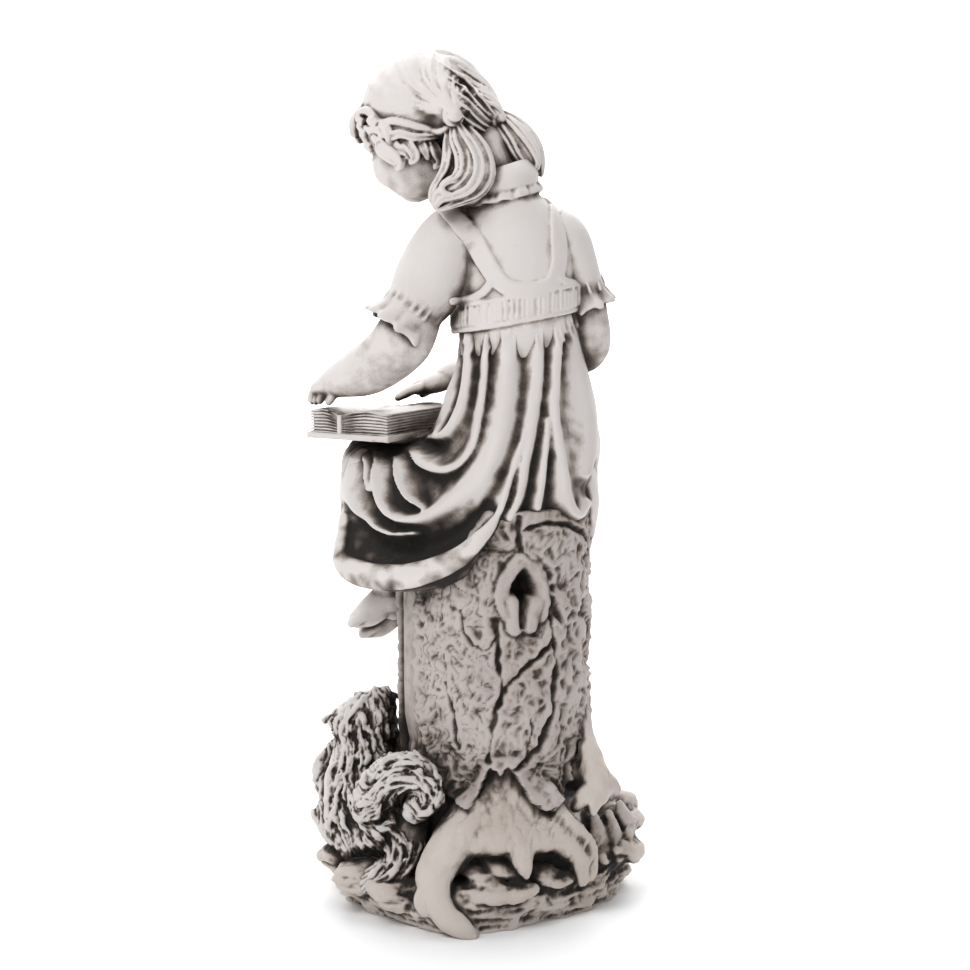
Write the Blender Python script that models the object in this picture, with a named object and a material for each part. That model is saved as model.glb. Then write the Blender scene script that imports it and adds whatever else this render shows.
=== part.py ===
"""Garden statue cast in one piece: a girl who reads on a tree stump, with a puppy at its foot.

The statue is drawn in units of a hundredth of a metre or so. X runs to the girl's right as
she is seen from behind, Y away from whoever stands behind her, and Z up from the ground.
Overlapping closed forms are laid together like clay, merged by a voxel remesh into one
casting, thinned to few faces and cut flat underneath.
"""

import math
import random

import bmesh
import bpy
import numpy as np
from mathutils import Vector
from mathutils.bvhtree import BVHTree

# Driving sizes in metres
FIGURE_HEIGHT = 0.82  # from the ground to the top of the head, on a base of the drawn thickness
BASE_WIDTH = 0.305
BASE_DEPTH = 0.285
BASE_THICKNESS = 0.045
STUMP_WIDTH = 0.186
BOOK_WIDTH = 0.122  # across the lap
BOOK_LENGTH = 0.094  # along the thighs
BOOK_THICKNESS = 0.031
BOOK_COVER = 0.006
STRAP_WIDTH = 0.019
STRAP_THICKNESS = 0.006
RUFFLE_WIDTH = 0.016

# How fine the casting is
CAST_GRAIN = 0.0036  # side of a voxel where the forms are merged
CAST_FACES = 9800  # triangles left after thinning
CAST_SOFTENING = 0.005  # how far the merged surface is smoothed

# Proportions of the drawing, in units
DRAWN_HEIGHT = 82.4
DRAWN_GROUND = 4.5  # height of the base's top
SEAT = 38.5  # height of the stump's top
UNIT = FIGURE_HEIGHT / DRAWN_HEIGHT
LIFT = BASE_THICKNESS / UNIT - DRAWN_GROUND
STUMP_DRAWN = 9.345  # the stump's radius where the forms round it were drawn
STUMP_MIDDLE = (1.0, 0.2)
VIEWER = np.array((0.0, -200.0, 66.0))  # folds and bark are laid out as seen from here


def smooth(points, steps=5):
    """Points along a smooth curve that passes through the given ones."""
    p = np.array(points, float)
    if len(p) == 2:
        return p[0] + (p[1] - p[0]) * np.linspace(0, 1, steps + 1)[:, None]
    ends = np.vstack([2 * p[0] - p[1], p, 2 * p[-1] - p[-2]])
    t = (np.arange(steps) / steps)[:, None]
    runs = []
    for i in range(len(p) - 1):
        a, b, c, d = ends[i : i + 4]
        runs.append(
            0.5 * (2 * b + (c - a) * t + (2 * a - 5 * b + 4 * c - d) * t**2 + (3 * b - a - 3 * c + d) * t**3)
        )
    return np.vstack(runs + [p[-1:]])


def unit(v):
    """The vectors in v at length 1."""
    v = np.asarray(v, float)
    return v / np.maximum(np.linalg.norm(v, axis=-1, keepdims=True), 1e-9)


def noise(points, size, seed=0):
    """Smooth noise from -1 to 1 whose lumps are about size across."""
    p = np.asarray(points, float) / size
    cell = np.floor(p).astype(np.int64)
    f = p - cell
    f = f * f * (3 - 2 * f)
    total = np.zeros(len(p))
    for corner in np.ndindex(2, 2, 2):
        c = cell + corner
        h = (c[:, 0] * 73856093) ^ (c[:, 1] * 19349663) ^ (c[:, 2] * 83492791) ^ (seed * 265443)
        h = ((h ^ (h >> 13)) * 1274126177) & 0xFFFFFFFF
        value = ((h ^ (h >> 16)) & 0xFFFF) / 32767.5 - 1
        total += value * np.prod(np.where(corner, f, 1 - f), axis=1)
    return total


class Form:
    """A closed lump of clay: points and faces."""

    def __init__(self, points, faces):
        self.points = np.asarray(points, float)
        self.faces = faces

    def tree(self):
        """Lets rays be cast on this form."""
        return BVHTree.FromPolygons(self.points.tolist(), self.faces)


def joined(forms):
    """Several forms as one list of points and faces."""
    points, faces, first = [], [], 0
    for form in forms:
        points.append(form.points)
        faces += [tuple(i + first for i in face) for face in form.faces]
        first += len(form.points)
    return Form(np.vstack(points), faces)


def ball(centre, radii, axes=None, detail=3):
    """An ellipsoid. axes are its three unit directions, as rows."""
    bm = bmesh.new()
    bmesh.ops.create_icosphere(bm, subdivisions=detail, radius=1.0)
    points = np.array([v.co for v in bm.verts]) * np.broadcast_to(radii, 3)
    faces = [tuple(v.index for v in f.verts) for f in bm.faces]
    bm.free()
    if axes is not None:
        points = points @ np.array(axes, float)
    return Form(points + np.array(centre, float), faces)


def skin(rings):
    """A closed form through rings of as many points each, with its two ends filled."""
    rings = np.asarray(rings, float)
    count, around = rings.shape[:2]
    points = np.vstack([rings.reshape(-1, 3), rings[0].mean(0), rings[-1].mean(0)])
    first, last = count * around, count * around + 1
    faces = []
    for i in range(around):
        j = (i + 1) % around
        faces.append((first, j, i))
        faces.append((last, (count - 1) * around + i, (count - 1) * around + j))
        for k in range(count - 1):
            a, b = k * around, (k + 1) * around
            faces.append((a + i, a + j, b + j, b + i))
    return Form(points, faces)


def rod(points, radii, flat=1.0, facing=None, sides=10, steps=4):
    """A rod with round ends along a smooth curve. flat squeezes it along facing."""
    centre = smooth(points, steps)
    radius = np.maximum(smooth(np.array(radii, float)[:, None], steps)[:, 0], 0.02)
    along = unit(np.gradient(centre, axis=0))
    if facing is None:
        out = np.zeros_like(along)
        guide = np.eye(3)[np.argmin(np.abs(along[0]))]
        for i, direction in enumerate(along):
            guide = unit(guide - direction * (guide @ direction))
            out[i] = guide
    else:
        facing = np.asarray(facing, float)
        out = smooth(facing, steps) if facing.ndim == 2 else np.tile(facing, (len(centre), 1))
        out = unit(out - along * (out * along).sum(1, keepdims=True))
    side = np.cross(along, out)
    turn = np.linspace(0, 2 * math.pi, sides, endpoint=False)
    rings = []
    caps = ((0.35, -0.93), (0.75, -0.66))
    stations = [(0, w, s) for w, s in caps] + [(i, 1.0, 0.0) for i in range(len(centre))]
    stations += [(len(centre) - 1, w, -s) for w, s in reversed(caps)]
    for i, wide, shift in stations:
        r = radius[i] * wide
        middle = centre[i] + along[i] * shift * radius[i]
        ring = middle + np.outer(np.cos(turn) * r, side[i]) + np.outer(np.sin(turn) * r * flat, out[i])
        rings.append(ring)
    return skin(rings)


def seen(path, form_tree, lift=0.0, steps=4):
    """A path drawn as the viewer sees it, laid on a form: its points and the way they face."""
    spots, ways = [], []
    for x, z in smooth(path, steps):
        direction = unit(np.array((x, 0.0, z)) - VIEWER)
        hit, normal, _, _ = form_tree.ray_cast(Vector(VIEWER), Vector(direction))
        if hit is None:
            hit, normal, _, _ = form_tree.find_nearest(Vector((x, 0.0, z)))
        normal = np.array(normal)
        if normal @ direction > 0:
            normal = -normal
        spots.append(np.array(hit) + normal * lift)
        ways.append(normal)
    return np.array(spots), np.array(ways)


def ridge(path, radii, form_tree, flat=0.8, lift=0.0, steps=4, sides=8):
    """A fold, strap or root that lies on a form along a path drawn as the viewer sees it."""
    spots, ways = seen(path, form_tree, lift, steps)
    wanted = np.interp(np.linspace(0, 1, len(spots)), np.linspace(0, 1, len(radii)), radii)
    return rod(spots, wanted, flat, ways, sides=sides, steps=1)


# Base

# Reach of the base from its middle, all round from the side next to the viewer, by degrees
BASE_OUTLINE = (
    (-8, 14.2), (16, 12.4), (42, 11.6), (68, 12.6), (96, 14.4), (120, 14.6), (150, 13.4),
    (180, 12.6), (215, 13.4), (250, 14.8), (272, 15.3), (296, 13.6), (323, 13.6), (340, 14.4),
)
BASE_DRAWN = (15.25, 14.25)  # half the width and depth that the outline is drawn with


# Height as a share of the base's thickness, and how wide it is there
BASE_PROFILE = ((-0.5, 0.93), (0.0, 0.94), (0.35, 0.985), (0.7, 0.97), (0.92, 0.9), (1.0, 0.78), (1.06, 0.45))


def clear_of_stump(points, share=1.0):
    """Moves points out from the stump's axis, in plan, by what the stump has grown since it was drawn."""
    points = np.array(points, float)
    away = points * (1, 1, 0) - (*STUMP_MIDDLE, 0)
    growth = STUMP_WIDTH / UNIT / 2 - STUMP_DRAWN
    return points + unit(away) * growth * np.reshape(share, (-1, 1))


def reach(angle):
    """How far the base goes from its middle, at an angle in degrees."""
    turns, radii = np.array(BASE_OUTLINE).T
    turns = np.concatenate([turns - 360, turns, turns + 360])
    return np.interp(np.asarray(angle), turns, np.tile(radii, 3))


def base():
    """A low slab of rough ground with stones in its rim."""
    angle = np.linspace(0, 360, 96, endpoint=False)
    far = sum(reach(angle + shift) for shift in (-9, 0, 9)) / 3
    wide = BASE_WIDTH / UNIT / 2 / BASE_DRAWN[0]
    deep = BASE_DEPTH / UNIT / 2 / BASE_DRAWN[1]
    thick = BASE_THICKNESS / UNIT
    turn = np.radians(angle)
    rings = []
    for height, share in BASE_PROFILE:
        out = far * share
        ring = np.stack([np.sin(turn) * out * wide, -np.cos(turn) * out * deep, turn * 0 + thick * height], 1)
        lump = 0.55 * noise(ring, 2.6, 3) + 0.3 * noise(ring, 1.2, 5)
        ring[:, :2] *= (1 + lump / 14)[:, None]
        if 0 < height < 1.05:
            ring[:, 2] += 0.35 * noise(ring, 3.0, 8)
        rings.append(ring)
    return [skin(rings)]


# Stones in the base's rim: x, y and z of the middle, radius, and which pattern roughens it
STONES = (
    (-11.5, -6.6, 3.4, 2.6, 1), (-8.2, -9.4, 3.0, 2.6, 2), (-13.8, -2.0, 4.0, 2.2, 3),
    (-5.6, -9.6, 3.2, 2.2, 4), (13.0, 0.4, 7.0, 2.2, 7), (13.4, -1.6, 4.6, 2.1, 8),
    (12.4, 2.6, 7.6, 2.4, 9), (8.6, 8.6, 4.6, 3.0, 10), (2.0, 10.4, 4.6, 2.6, 11),
    (-5.2, 10.2, 4.6, 3.0, 12), (-11.4, 7.4, 4.6, 2.8, 13), (-13.6, 3.0, 4.4, 2.2, 14),
    (-8.6, -1.6, 4.6, 3.4, 15), (9.4, 1.2, 6.4, 3.6, 16), (-8.8, 4.2, 4.8, 3.4, 17),
)
# Slabs under the arched roots: three points, three radii and how flat they are
SLABS = (
    (((-2.4, -10.0, 6.2), (-0.6, -11.2, 5.2), (1.4, -11.8, 4.2)), (0.9, 1.5, 0.7), 0.45),
    (((-0.4, -9.6, 7.0), (1.6, -10.6, 5.8), (3.6, -11.2, 4.6)), (0.9, 1.5, 0.7), 0.45),
    (((4.4, -9.4, 4.8), (6.0, -9.6, 4.2), (7.6, -9.0, 4.0)), (1.0, 1.4, 0.8), 0.6),
    (((-2.6, -12.4, 3.8), (1.0, -12.8, 3.6), (4.6, -11.6, 3.8)), (0.8, 1.2, 0.7), 0.5),
)
SLAB_WAY = (0.3, -0.5, 0.8)
LEAVES = ((11.2, -3.4, 3.8, 8.0, 0.9), (12.6, -2.8, 4.4, 8.4, 0.7), (13.8, -1.2, 5.6, 8.8, 0.8))


def stones():
    """Stones, slabs and upright leaves that stand on the base."""
    forms = []
    for x, y, z, r, seed in STONES:
        stone = ball((x, y, z), (r * 1.15, r, r * 0.72))
        away = unit(stone.points - np.array((x, y, z)))
        stone.points += away * (0.22 * r * noise(stone.points, r * 0.9, seed))[:, None]
        forms.append(stone)
    forms += [rod(points, radii, flat, SLAB_WAY) for points, radii, flat in SLABS]
    for x, y, foot, top, r in LEAVES:
        leaf = ((x + 0.3, y - 0.6, foot), (x, y - 0.2, (foot + top) / 2), (x - 0.5, y + 0.5, top))
        forms.append(rod(leaf, (r * 0.8, r * 1.25, r * 0.6), 0.6, (0.4, -1, 0)))
        forms.append(rod(((x - 1.6, y + 1.2, foot), (x, y, foot + 0.4)), (1.2, 1.0)))
    return forms


# Stump

# Cracks in the bark on the side next to the viewer, as x and z of their points
CRACKS = (
    ((3.4, 37.5), (3.6, 34.5), (4.6, 33.0), (5.8, 30.1), (5.9, 26.6), (5.7, 23.1), (5.5, 19.1), (5.7, 13.1)),
    ((3.6, 33.0), (1.9, 31.1), (1.0, 29.1), (1.2, 26.6), (1.5, 23.1), (2.0, 20.1), (1.3, 15.1)),
    ((1.0, 29.1), (-0.7, 29.7), (-1.5, 28.6), (-1.0, 25.1)),
    ((5.4, 26.9), (3.6, 23.6), (2.2, 20.1)),
    ((8.7, 36.5), (8.5, 31.0), (9.2, 25.6), (9.1, 19.1), (9.3, 13.6)),
)
# Where the bark ends on that side, from the left above to the right below
BARK_EDGE = (
    (-7.6, 31.6), (-6.6, 29.1), (-7.0, 25.1), (-6.9, 20.1), (-5.6, 17.1), (-4.4, 14.1), (-3.3, 11.1),
    (-2.0, 9.1),
    (-0.7, 12.1), (0.5, 14.6), (1.5, 12.6), (2.5, 14.1), (3.9, 11.1), (5.9, 8.0), (7.4, 10.0), (9.2, 13.1),
    (12.5, 14.6),
)
BARK_THICKNESS = 0.75
CRACK_WIDTH = 0.38
KNOT = (3.5, 29.9)
KNOT_REACH = (1.0, 2.0)


def distance_to_line(spots, line):
    """How far each spot is from a line of straight runs, all in the plane."""
    nearest = np.full(len(spots), 1e9)
    for a, b in zip(np.array(line[:-1], float), np.array(line[1:], float)):
        run = b - a
        t = np.clip(((spots - a) @ run) / (run @ run), 0, 1)
        nearest = np.minimum(nearest, np.linalg.norm(spots - a - t[:, None] * run, axis=1))
    return nearest


def bark_height(points, angle):
    """How far the bark stands out of the bare wood at points of the stump."""
    shrink = VIEWER[1] / (VIEWER[1] - points[:, 1])
    view = np.stack([points[:, 0] * shrink, VIEWER[2] + (points[:, 2] - VIEWER[2]) * shrink], 1)
    near = np.cos(angle) > -0.05
    edge = np.array(BARK_EDGE)
    lowest = np.interp(view[:, 0], edge[7:, 0], edge[7:, 1])
    left = np.interp(view[:, 1], edge[7::-1, 1], edge[7::-1, 0])
    ragged = 0.35 * noise(points, 1.1, 21)
    inside = np.minimum(view[:, 1] - lowest,
                        np.where(view[:, 1] > edge[7, 1], view[:, 0] - left, -1.0)) + ragged
    far_edge = 10.5 + 2.6 * np.abs(np.sin(angle * 2.5 + 0.7)) + ragged
    inside = np.where(near, inside, points[:, 2] - far_edge)
    bark = np.clip(inside / 0.45 + 0.5, 0, 1)
    crack = np.full(len(points), 1e9)
    for line in CRACKS:
        crack = np.minimum(crack, distance_to_line(view, line))
    wander = np.sin(angle * 4 + 0.8 * np.sin(points[:, 2] * 0.33) + 0.5 * noise(points, 3.0, 31))
    crack = np.where(near, crack, np.abs(wander) * 2.2 + 0.05)
    width = CRACK_WIDTH * (1.1 + 0.5 * noise(points, 2.0, 23))
    groove = np.clip(1.25 - crack / width, 0, 1)
    rough = 0.16 * noise(points, 1.7, 24) + 0.14 * noise(points, 0.8, 25)
    return bark * (BARK_THICKNESS * (1 - 0.95 * groove) + rough), view, near


def stump(columns=150, rows=96):
    """The stump: bare wood with bark over most of it, and a knot."""
    radius = STUMP_WIDTH / UNIT / 2 - BARK_THICKNESS
    angle = np.tile(np.linspace(0, 2 * math.pi, columns, endpoint=False), rows)
    height = np.repeat(np.linspace(2.0, SEAT + 1.5, rows), columns)
    out = np.stack([np.sin(angle), -np.cos(angle), angle * 0], 1)
    flare = 0.14 + 0.24 * np.clip(-np.cos(angle) + 0.2, 0, 1)
    swell = 1 + flare * np.clip((13 - height) / 10, 0, 1) ** 1.6 + 0.02 * np.clip((height - 30) / 8, 0, 1)
    swell += 0.025 * np.sin(angle * 3 + 0.5) + 0.018 * np.sin(angle * 5 + height * 0.12)
    axis = np.stack([angle * 0 + STUMP_MIDDLE[0], angle * 0 + STUMP_MIDDLE[1], height], 1)
    wood = axis + out * (radius * swell)[:, None]
    bark, view, near = bark_height(wood, angle)
    streaks = 0.12 * noise(np.stack([angle * 9, height * 0.16, angle * 0], 1), 0.6, 41)
    wood += out * (bark + streaks * (bark < 0.3))[:, None]
    offset = (view - np.array(KNOT)) / np.array(KNOT_REACH)
    inside = np.clip(1.35 - np.hypot(offset[:, 0], offset[:, 1] * np.where(offset[:, 1] < 0, 0.8, 1)), 0, 1)
    wood -= out * np.where(near, 2.4 * inside, 0)[:, None]
    return skin(wood.reshape(rows, columns, 3))


def knot(bark):
    """The ring round the knot's hole, and the two lips under it."""
    tree = bark.tree()
    x, z = KNOT
    ring = [(x - 1.5, z - 2.4), (x - 1.75, z - 0.4), (x - 1.0, z + 1.9), (x + 0.15, z + 3.3)]
    ring += [(x + 1.3, z + 1.9), (x + 1.85, z - 0.4), (x + 1.5, z - 1.6)]
    return [
        ridge(ring, (0.6, 0.72, 0.72, 0.6, 0.7, 0.7, 0.55), tree, 0.9, 0.25),
        ridge(((x - 1.1, z - 1.4), (x - 1.0, z - 3.0), (x - 0.9, z - 5.0)), (0.65, 0.85, 0.35), tree, 0.9,
              0.25),
        ridge(((x + 1.0, z - 1.4), (x + 0.6, z - 2.8), (x - 0.1, z - 4.2)), (0.6, 0.75, 0.3), tree, 0.9, 0.3),
    ]


# The broad wood that the front roots part from: height, middle in X and Y, half width, half depth
ROOT_MASS = (
    (16.0, 2.1, -6.5, 2.4, 2.2), (13.5, 2.2, -6.9, 3.2, 2.4), (11.8, 2.4, -7.4, 3.9, 2.5),
    (10.0, 2.2, -8.1, 4.9, 2.6),
    (8.6, 2.0, -9.0, 6.0, 2.5), (7.6, 1.9, -9.7, 6.6, 2.1), (6.9, 1.8, -10.0, 6.0, 1.2),
)
ROOT_MASS_TURN = 0.2  # how far the mass goes back for each unit to the right
# Each root's points, and its radii there
ROOTS = (
    (((0.5, -8.4, 11.5), (-1.8, -10.0, 9.4), (-3.8, -11.3, 7.2), (-4.4, -12.0, 5.2),
      (-4.3, -12.8, 3.0), (-3.4, -13.4, 1.2), (-2.6, -13.7, 0.2)),
     (2.6, 2.4, 2.3, 2.0, 1.55, 1.15, 0.9)),
    (((-4.9, -12.6, 4.2), (-5.7, -13.0, 3.2), (-5.6, -13.2, 2.4)), (1.2, 0.8, 0.55)),
    (((2.4, -9.4, 9.6), (3.1, -10.9, 7.6), (3.6, -11.8, 6.1), (3.8, -12.0, 5.4)), (2.0, 1.5, 0.85, 0.5)),
    (((4.6, -8.8, 10.0), (6.6, -9.6, 8.2), (8.6, -9.2, 6.4), (9.1, -8.8, 4.8), (9.2, -8.6, 3.6)),
     (2.2, 1.7, 1.2, 0.9, 0.8)),
    (((5.2, -7.6, 12.6), (7.0, -8.6, 10.4), (8.4, -8.8, 8.8), (9.9, -8.2, 6.8), (10.0, -8.0, 4.0)),
     (1.3, 1.1, 1.0, 0.9, 0.8)),
    (((9.6, -2.6, 18.4), (9.6, -4.4, 14.6), (9.0, -6.2, 12.0), (8.5, -7.2, 11.0)), (0.9, 1.35, 1.6, 1.0)),
    (((9.8, -4.0, 14.0), (10.8, -5.0, 12.2), (11.5, -5.4, 11.5)), (1.2, 1.25, 0.9)),
    (((9.8, -1.0, 16.0), (11.0, -0.6, 12.8), (13.0, -0.2, 11.4), (14.0, -0.4, 10.4)), (1.0, 1.4, 1.4, 1.0)),
    (((8.5, 4.5, 12.0), (10.8, 6.4, 8.0), (12.0, 7.6, 4.6), (12.4, 8.0, 2.4)), (2.4, 1.9, 1.4, 0.9)),
    (((3.0, 8.6, 13.0), (4.0, 10.4, 8.0), (3.4, 11.6, 4.6), (3.6, 12.0, 2.4)), (2.6, 2.1, 1.5, 0.9)),
    (((-3.0, 8.0, 13.0), (-4.6, 9.8, 8.4), (-7.2, 10.6, 5.2), (-8.4, 10.6, 3.0)), (2.5, 2.0, 1.5, 0.9)),
    (((-7.0, 3.0, 12.0), (-9.0, 3.8, 8.0), (-11.4, 5.4, 5.0), (-12.6, 6.2, 3.0)), (2.3, 1.9, 1.4, 0.9)),
    (((-5.8, -4.0, 13.0), (-6.8, -6.2, 9.0), (-7.0, -7.6, 5.6)), (2.2, 2.0, 1.6)),
)


def root_mass():
    """The broad wood under the bark that the roots in front part from."""
    turn = np.linspace(0, 2 * math.pi, 40, endpoint=False)
    rings = []
    for z, x, y, wide, deep in smooth(ROOT_MASS, 4):
        across = np.sin(turn) * wide
        rings.append(np.stack([x + across, y - np.cos(turn) * deep + across * ROOT_MASS_TURN, turn * 0 + z],
                              1))
    return skin(clear_of_stump(np.reshape(rings, (-1, 3))).reshape(len(rings), -1, 3))


def roots():
    """Roots that come out from under the bark and grip the base."""
    rim = min(BASE_WIDTH, BASE_DEPTH) / UNIT / 2
    forms = [root_mass()]
    for points, radii in ROOTS:
        away = np.linalg.norm(np.array(points)[:, :2] - STUMP_MIDDLE, axis=1)
        share = np.clip((rim - away) / (rim - STUMP_DRAWN), 0, 1)
        forms.append(rod(clear_of_stump(points, share), radii, 0.85))
    return forms


# Puppy

def puppy_body():
    """The puppy's body, head and legs, without fur. It sits with its back to the viewer."""
    return [
        rod(((-11.0, -2.6, 7.6), (-11.8, -0.4, 10.8), (-12.2, 2.0, 14.0)), (4.6, 3.9, 3.0)),
        ball((-12.4, 3.5, 16.8), (3.1, 3.3, 3.2)),
        rod(((-11.6, 5.4, 17.4), (-10.2, 7.6, 18.2)), (2.0, 1.3)),
        rod(((-12.2, 4.8, 19.0), (-10.8, 5.2, 19.4), (-9.6, 5.2, 18.9)), (0.9, 1.15, 0.8), 0.7),
        rod(((-9.8, 4.2, 18.6), (-9.2, 4.0, 17.0), (-9.4, 3.8, 15.2)), (0.9, 1.2, 0.6), 0.6),
        rod(((-14.6, 3.4, 17.6), (-15.6, 3.2, 17.1), (-16.5, 3.0, 16.7)), (1.1, 0.8, 0.3), 0.6),
        rod(((-14.9, 3.4, 14.4), (-16.1, 2.4, 12.2), (-16.0, 1.6, 10.0), (-14.8, 1.2, 8.2)),
            (0.8, 0.95, 0.9, 0.8)),
        rod(((-16.1, -0.4, 7.6), (-14.0, -3.4, 6.2), (-11.4, -5.6, 5.2)), (1.2, 1.4, 0.8), 0.7),
        ball((-9.9, -5.0, 7.8), (3.3, 2.9, 3.4)),
        rod(((-7.6, -7.2, 6.6), (-7.3, -8.2, 5.2), (-8.8, -8.8, 4.3), (-10.6, -8.6, 3.6)),
            (1.8, 1.8, 1.8, 1.4)),
        rod(((-12.6, 5.4, 12.0), (-12.0, 7.6, 8.0), (-11.8, 8.4, 4.8)), (1.6, 1.3, 1.1)),
        rod(((-9.6, 5.6, 12.0), (-9.4, 7.4, 8.0), (-9.4, 8.2, 4.8)), (1.6, 1.3, 1.1)),
    ]


PUPPY_MIDDLE = np.array((-11.4, 0.6, 12.0))
TAIL = (
    (-10.2, -5.2, 9.4), (-9.7, -6.4, 12.0), (-8.0, -7.2, 13.7), (-5.7, -7.9, 13.0),
    (-4.9, -8.2, 10.9), (-6.1, -8.7, 9.3), (-7.8, -9.0, 9.6), (-7.8, -9.3, 10.9), (-6.9, -9.5, 10.6),
)
TAIL_RADII = (2.2, 2.2, 2.15, 2.0, 1.7, 1.4, 1.1, 0.75, 0.4)


def fur(body, spread=1.6, seed=4):
    """Locks of fur laid on the puppy, with a seeded scatter."""
    pick = random.Random(seed)
    tree = body.tree()
    forms = []
    across, down = round(7.4 / spread), round(13 / spread)
    for row in range(down):
        for column in range(across):
            x = -15.2 + 7.4 * (column + 0.5 * (row % 2) + 0.4 * pick.random()) / across
            z = 7.4 + 12.6 * (row + 0.5 * pick.random()) / down
            lean = spread * (0.55 + 0.4 * pick.random())
            path = ((x, z), (x - 0.4 * lean, z - lean), (x - 0.5 * lean, z - 2.0 * lean))
            radii = (0.2 * spread, 0.36 * spread, 0.06 * spread)
            forms.append(ridge(path, radii, tree, 0.75, 0.1, steps=2, sides=6))
    centre = smooth(TAIL, 4)
    radius = smooth(np.array(TAIL_RADII)[:, None], 4)[:, 0]
    along = unit(np.gradient(centre, axis=0))
    for i in range(1, len(centre) - 9, 3):
        for turn in range(0, 360, int(38 * spread)):
            side = unit(np.cross(along[i], (0, 1, 0)))
            out = unit(np.cross(side, along[i]))
            turned = math.radians(turn + 17 * i)
            way = side * math.cos(turned) + out * math.sin(turned)
            start = centre[i] + way * radius[i] * 0.86
            end = centre[i + 5] + way * radius[i + 5] * 1.1
            middle = centre[i + 2] + way * radius[i + 2]
            forms.append(rod((start, middle, end), (0.2 * spread, 0.34 * spread, 0.08), 0.8, way, 6, 2))
    return forms


def puppy():
    """The whole puppy."""
    forms = puppy_body() + [rod(TAIL, TAIL_RADII)]
    forms += fur(joined(puppy_body()))
    shift = clear_of_stump([PUPPY_MIDDLE])[0] - PUPPY_MIDDLE
    for form in forms:
        form.points += shift
    return forms


# Girl: skirt and legs

# The skirt from the bodice's seam to the hem, at eleven places round it. The first is the
# one next to the viewer, and they go on past the girl's right, her front and her left.
SKIRT = (
    ((3.0, -5.3, 56.0), (2.6, -6.4, 52.0), (2.2, -7.8, 47.5), (1.8, -9.2, 43.0), (1.5, -9.8, 40.0),
     (1.5, -9.9, 37.3)),
    ((7.0, -4.0, 57.0), (7.6, -4.9, 52.5), (8.2, -5.9, 48.0), (8.9, -6.8, 43.5), (8.8, -7.2, 40.5),
     (8.4, -7.2, 37.6)),
    ((8.6, -1.0, 57.6), (9.5, -0.8, 53.0), (10.8, -0.4, 48.5), (11.6, 0.2, 44.0), (11.5, 0.6, 41.0),
     (10.9, 1.0, 38.8)),
    ((7.0, 2.2, 57.0), (8.0, 3.8, 53.0), (8.8, 5.8, 48.5), (9.4, 7.8, 44.5), (9.5, 8.8, 41.0),
     (9.2, 9.2, 37.0)),
    ((3.0, 3.4, 56.2), (2.6, 5.0, 52.0), (1.5, 8.0, 47.5), (0.0, 12.0, 45.0), (-0.6, 13.0, 41.0),
     (-0.8, 13.0, 35.0)),
    ((-0.8, 2.2, 55.6), (-1.8, 3.5, 51.0), (-4.0, 7.0, 46.0), (-7.5, 12.0, 45.6), (-9.6, 13.8, 42.0),
     (-9.8, 13.6, 33.5)),
    ((-2.4, 0.8, 55.5), (-3.2, 1.5, 50.5), (-6.0, 4.0, 45.0), (-12.4, 8.6, 44.4), (-13.8, 9.4, 41.0),
     (-13.6, 9.0, 32.0)),
    ((-2.9, -1.0, 55.4), (-3.6, -0.8, 50.0), (-6.0, 0.8, 44.6), (-12.8, 3.6, 43.6), (-14.3, 4.2, 40.0),
     (-14.2, 4.0, 31.5)),
    ((-2.2, -3.2, 55.4), (-3.2, -3.4, 49.5), (-5.5, -2.8, 44.2), (-10.6, -1.6, 42.0), (-12.8, -1.6, 38.0),
     (-13.2, -1.4, 31.0)),
    ((-0.4, -4.6, 55.6), (-1.4, -5.4, 50.5), (-3.2, -6.2, 45.0), (-5.8, -6.4, 41.2), (-8.0, -6.5, 36.6),
     (-8.8, -6.6, 31.0)),
    ((1.6, -5.2, 55.9), (1.0, -6.3, 51.0), (0.0, -7.6, 46.0), (-1.2, -9.0, 41.6), (-2.2, -9.7, 37.2),
     (-2.6, -9.9, 32.6)),
)
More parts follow.
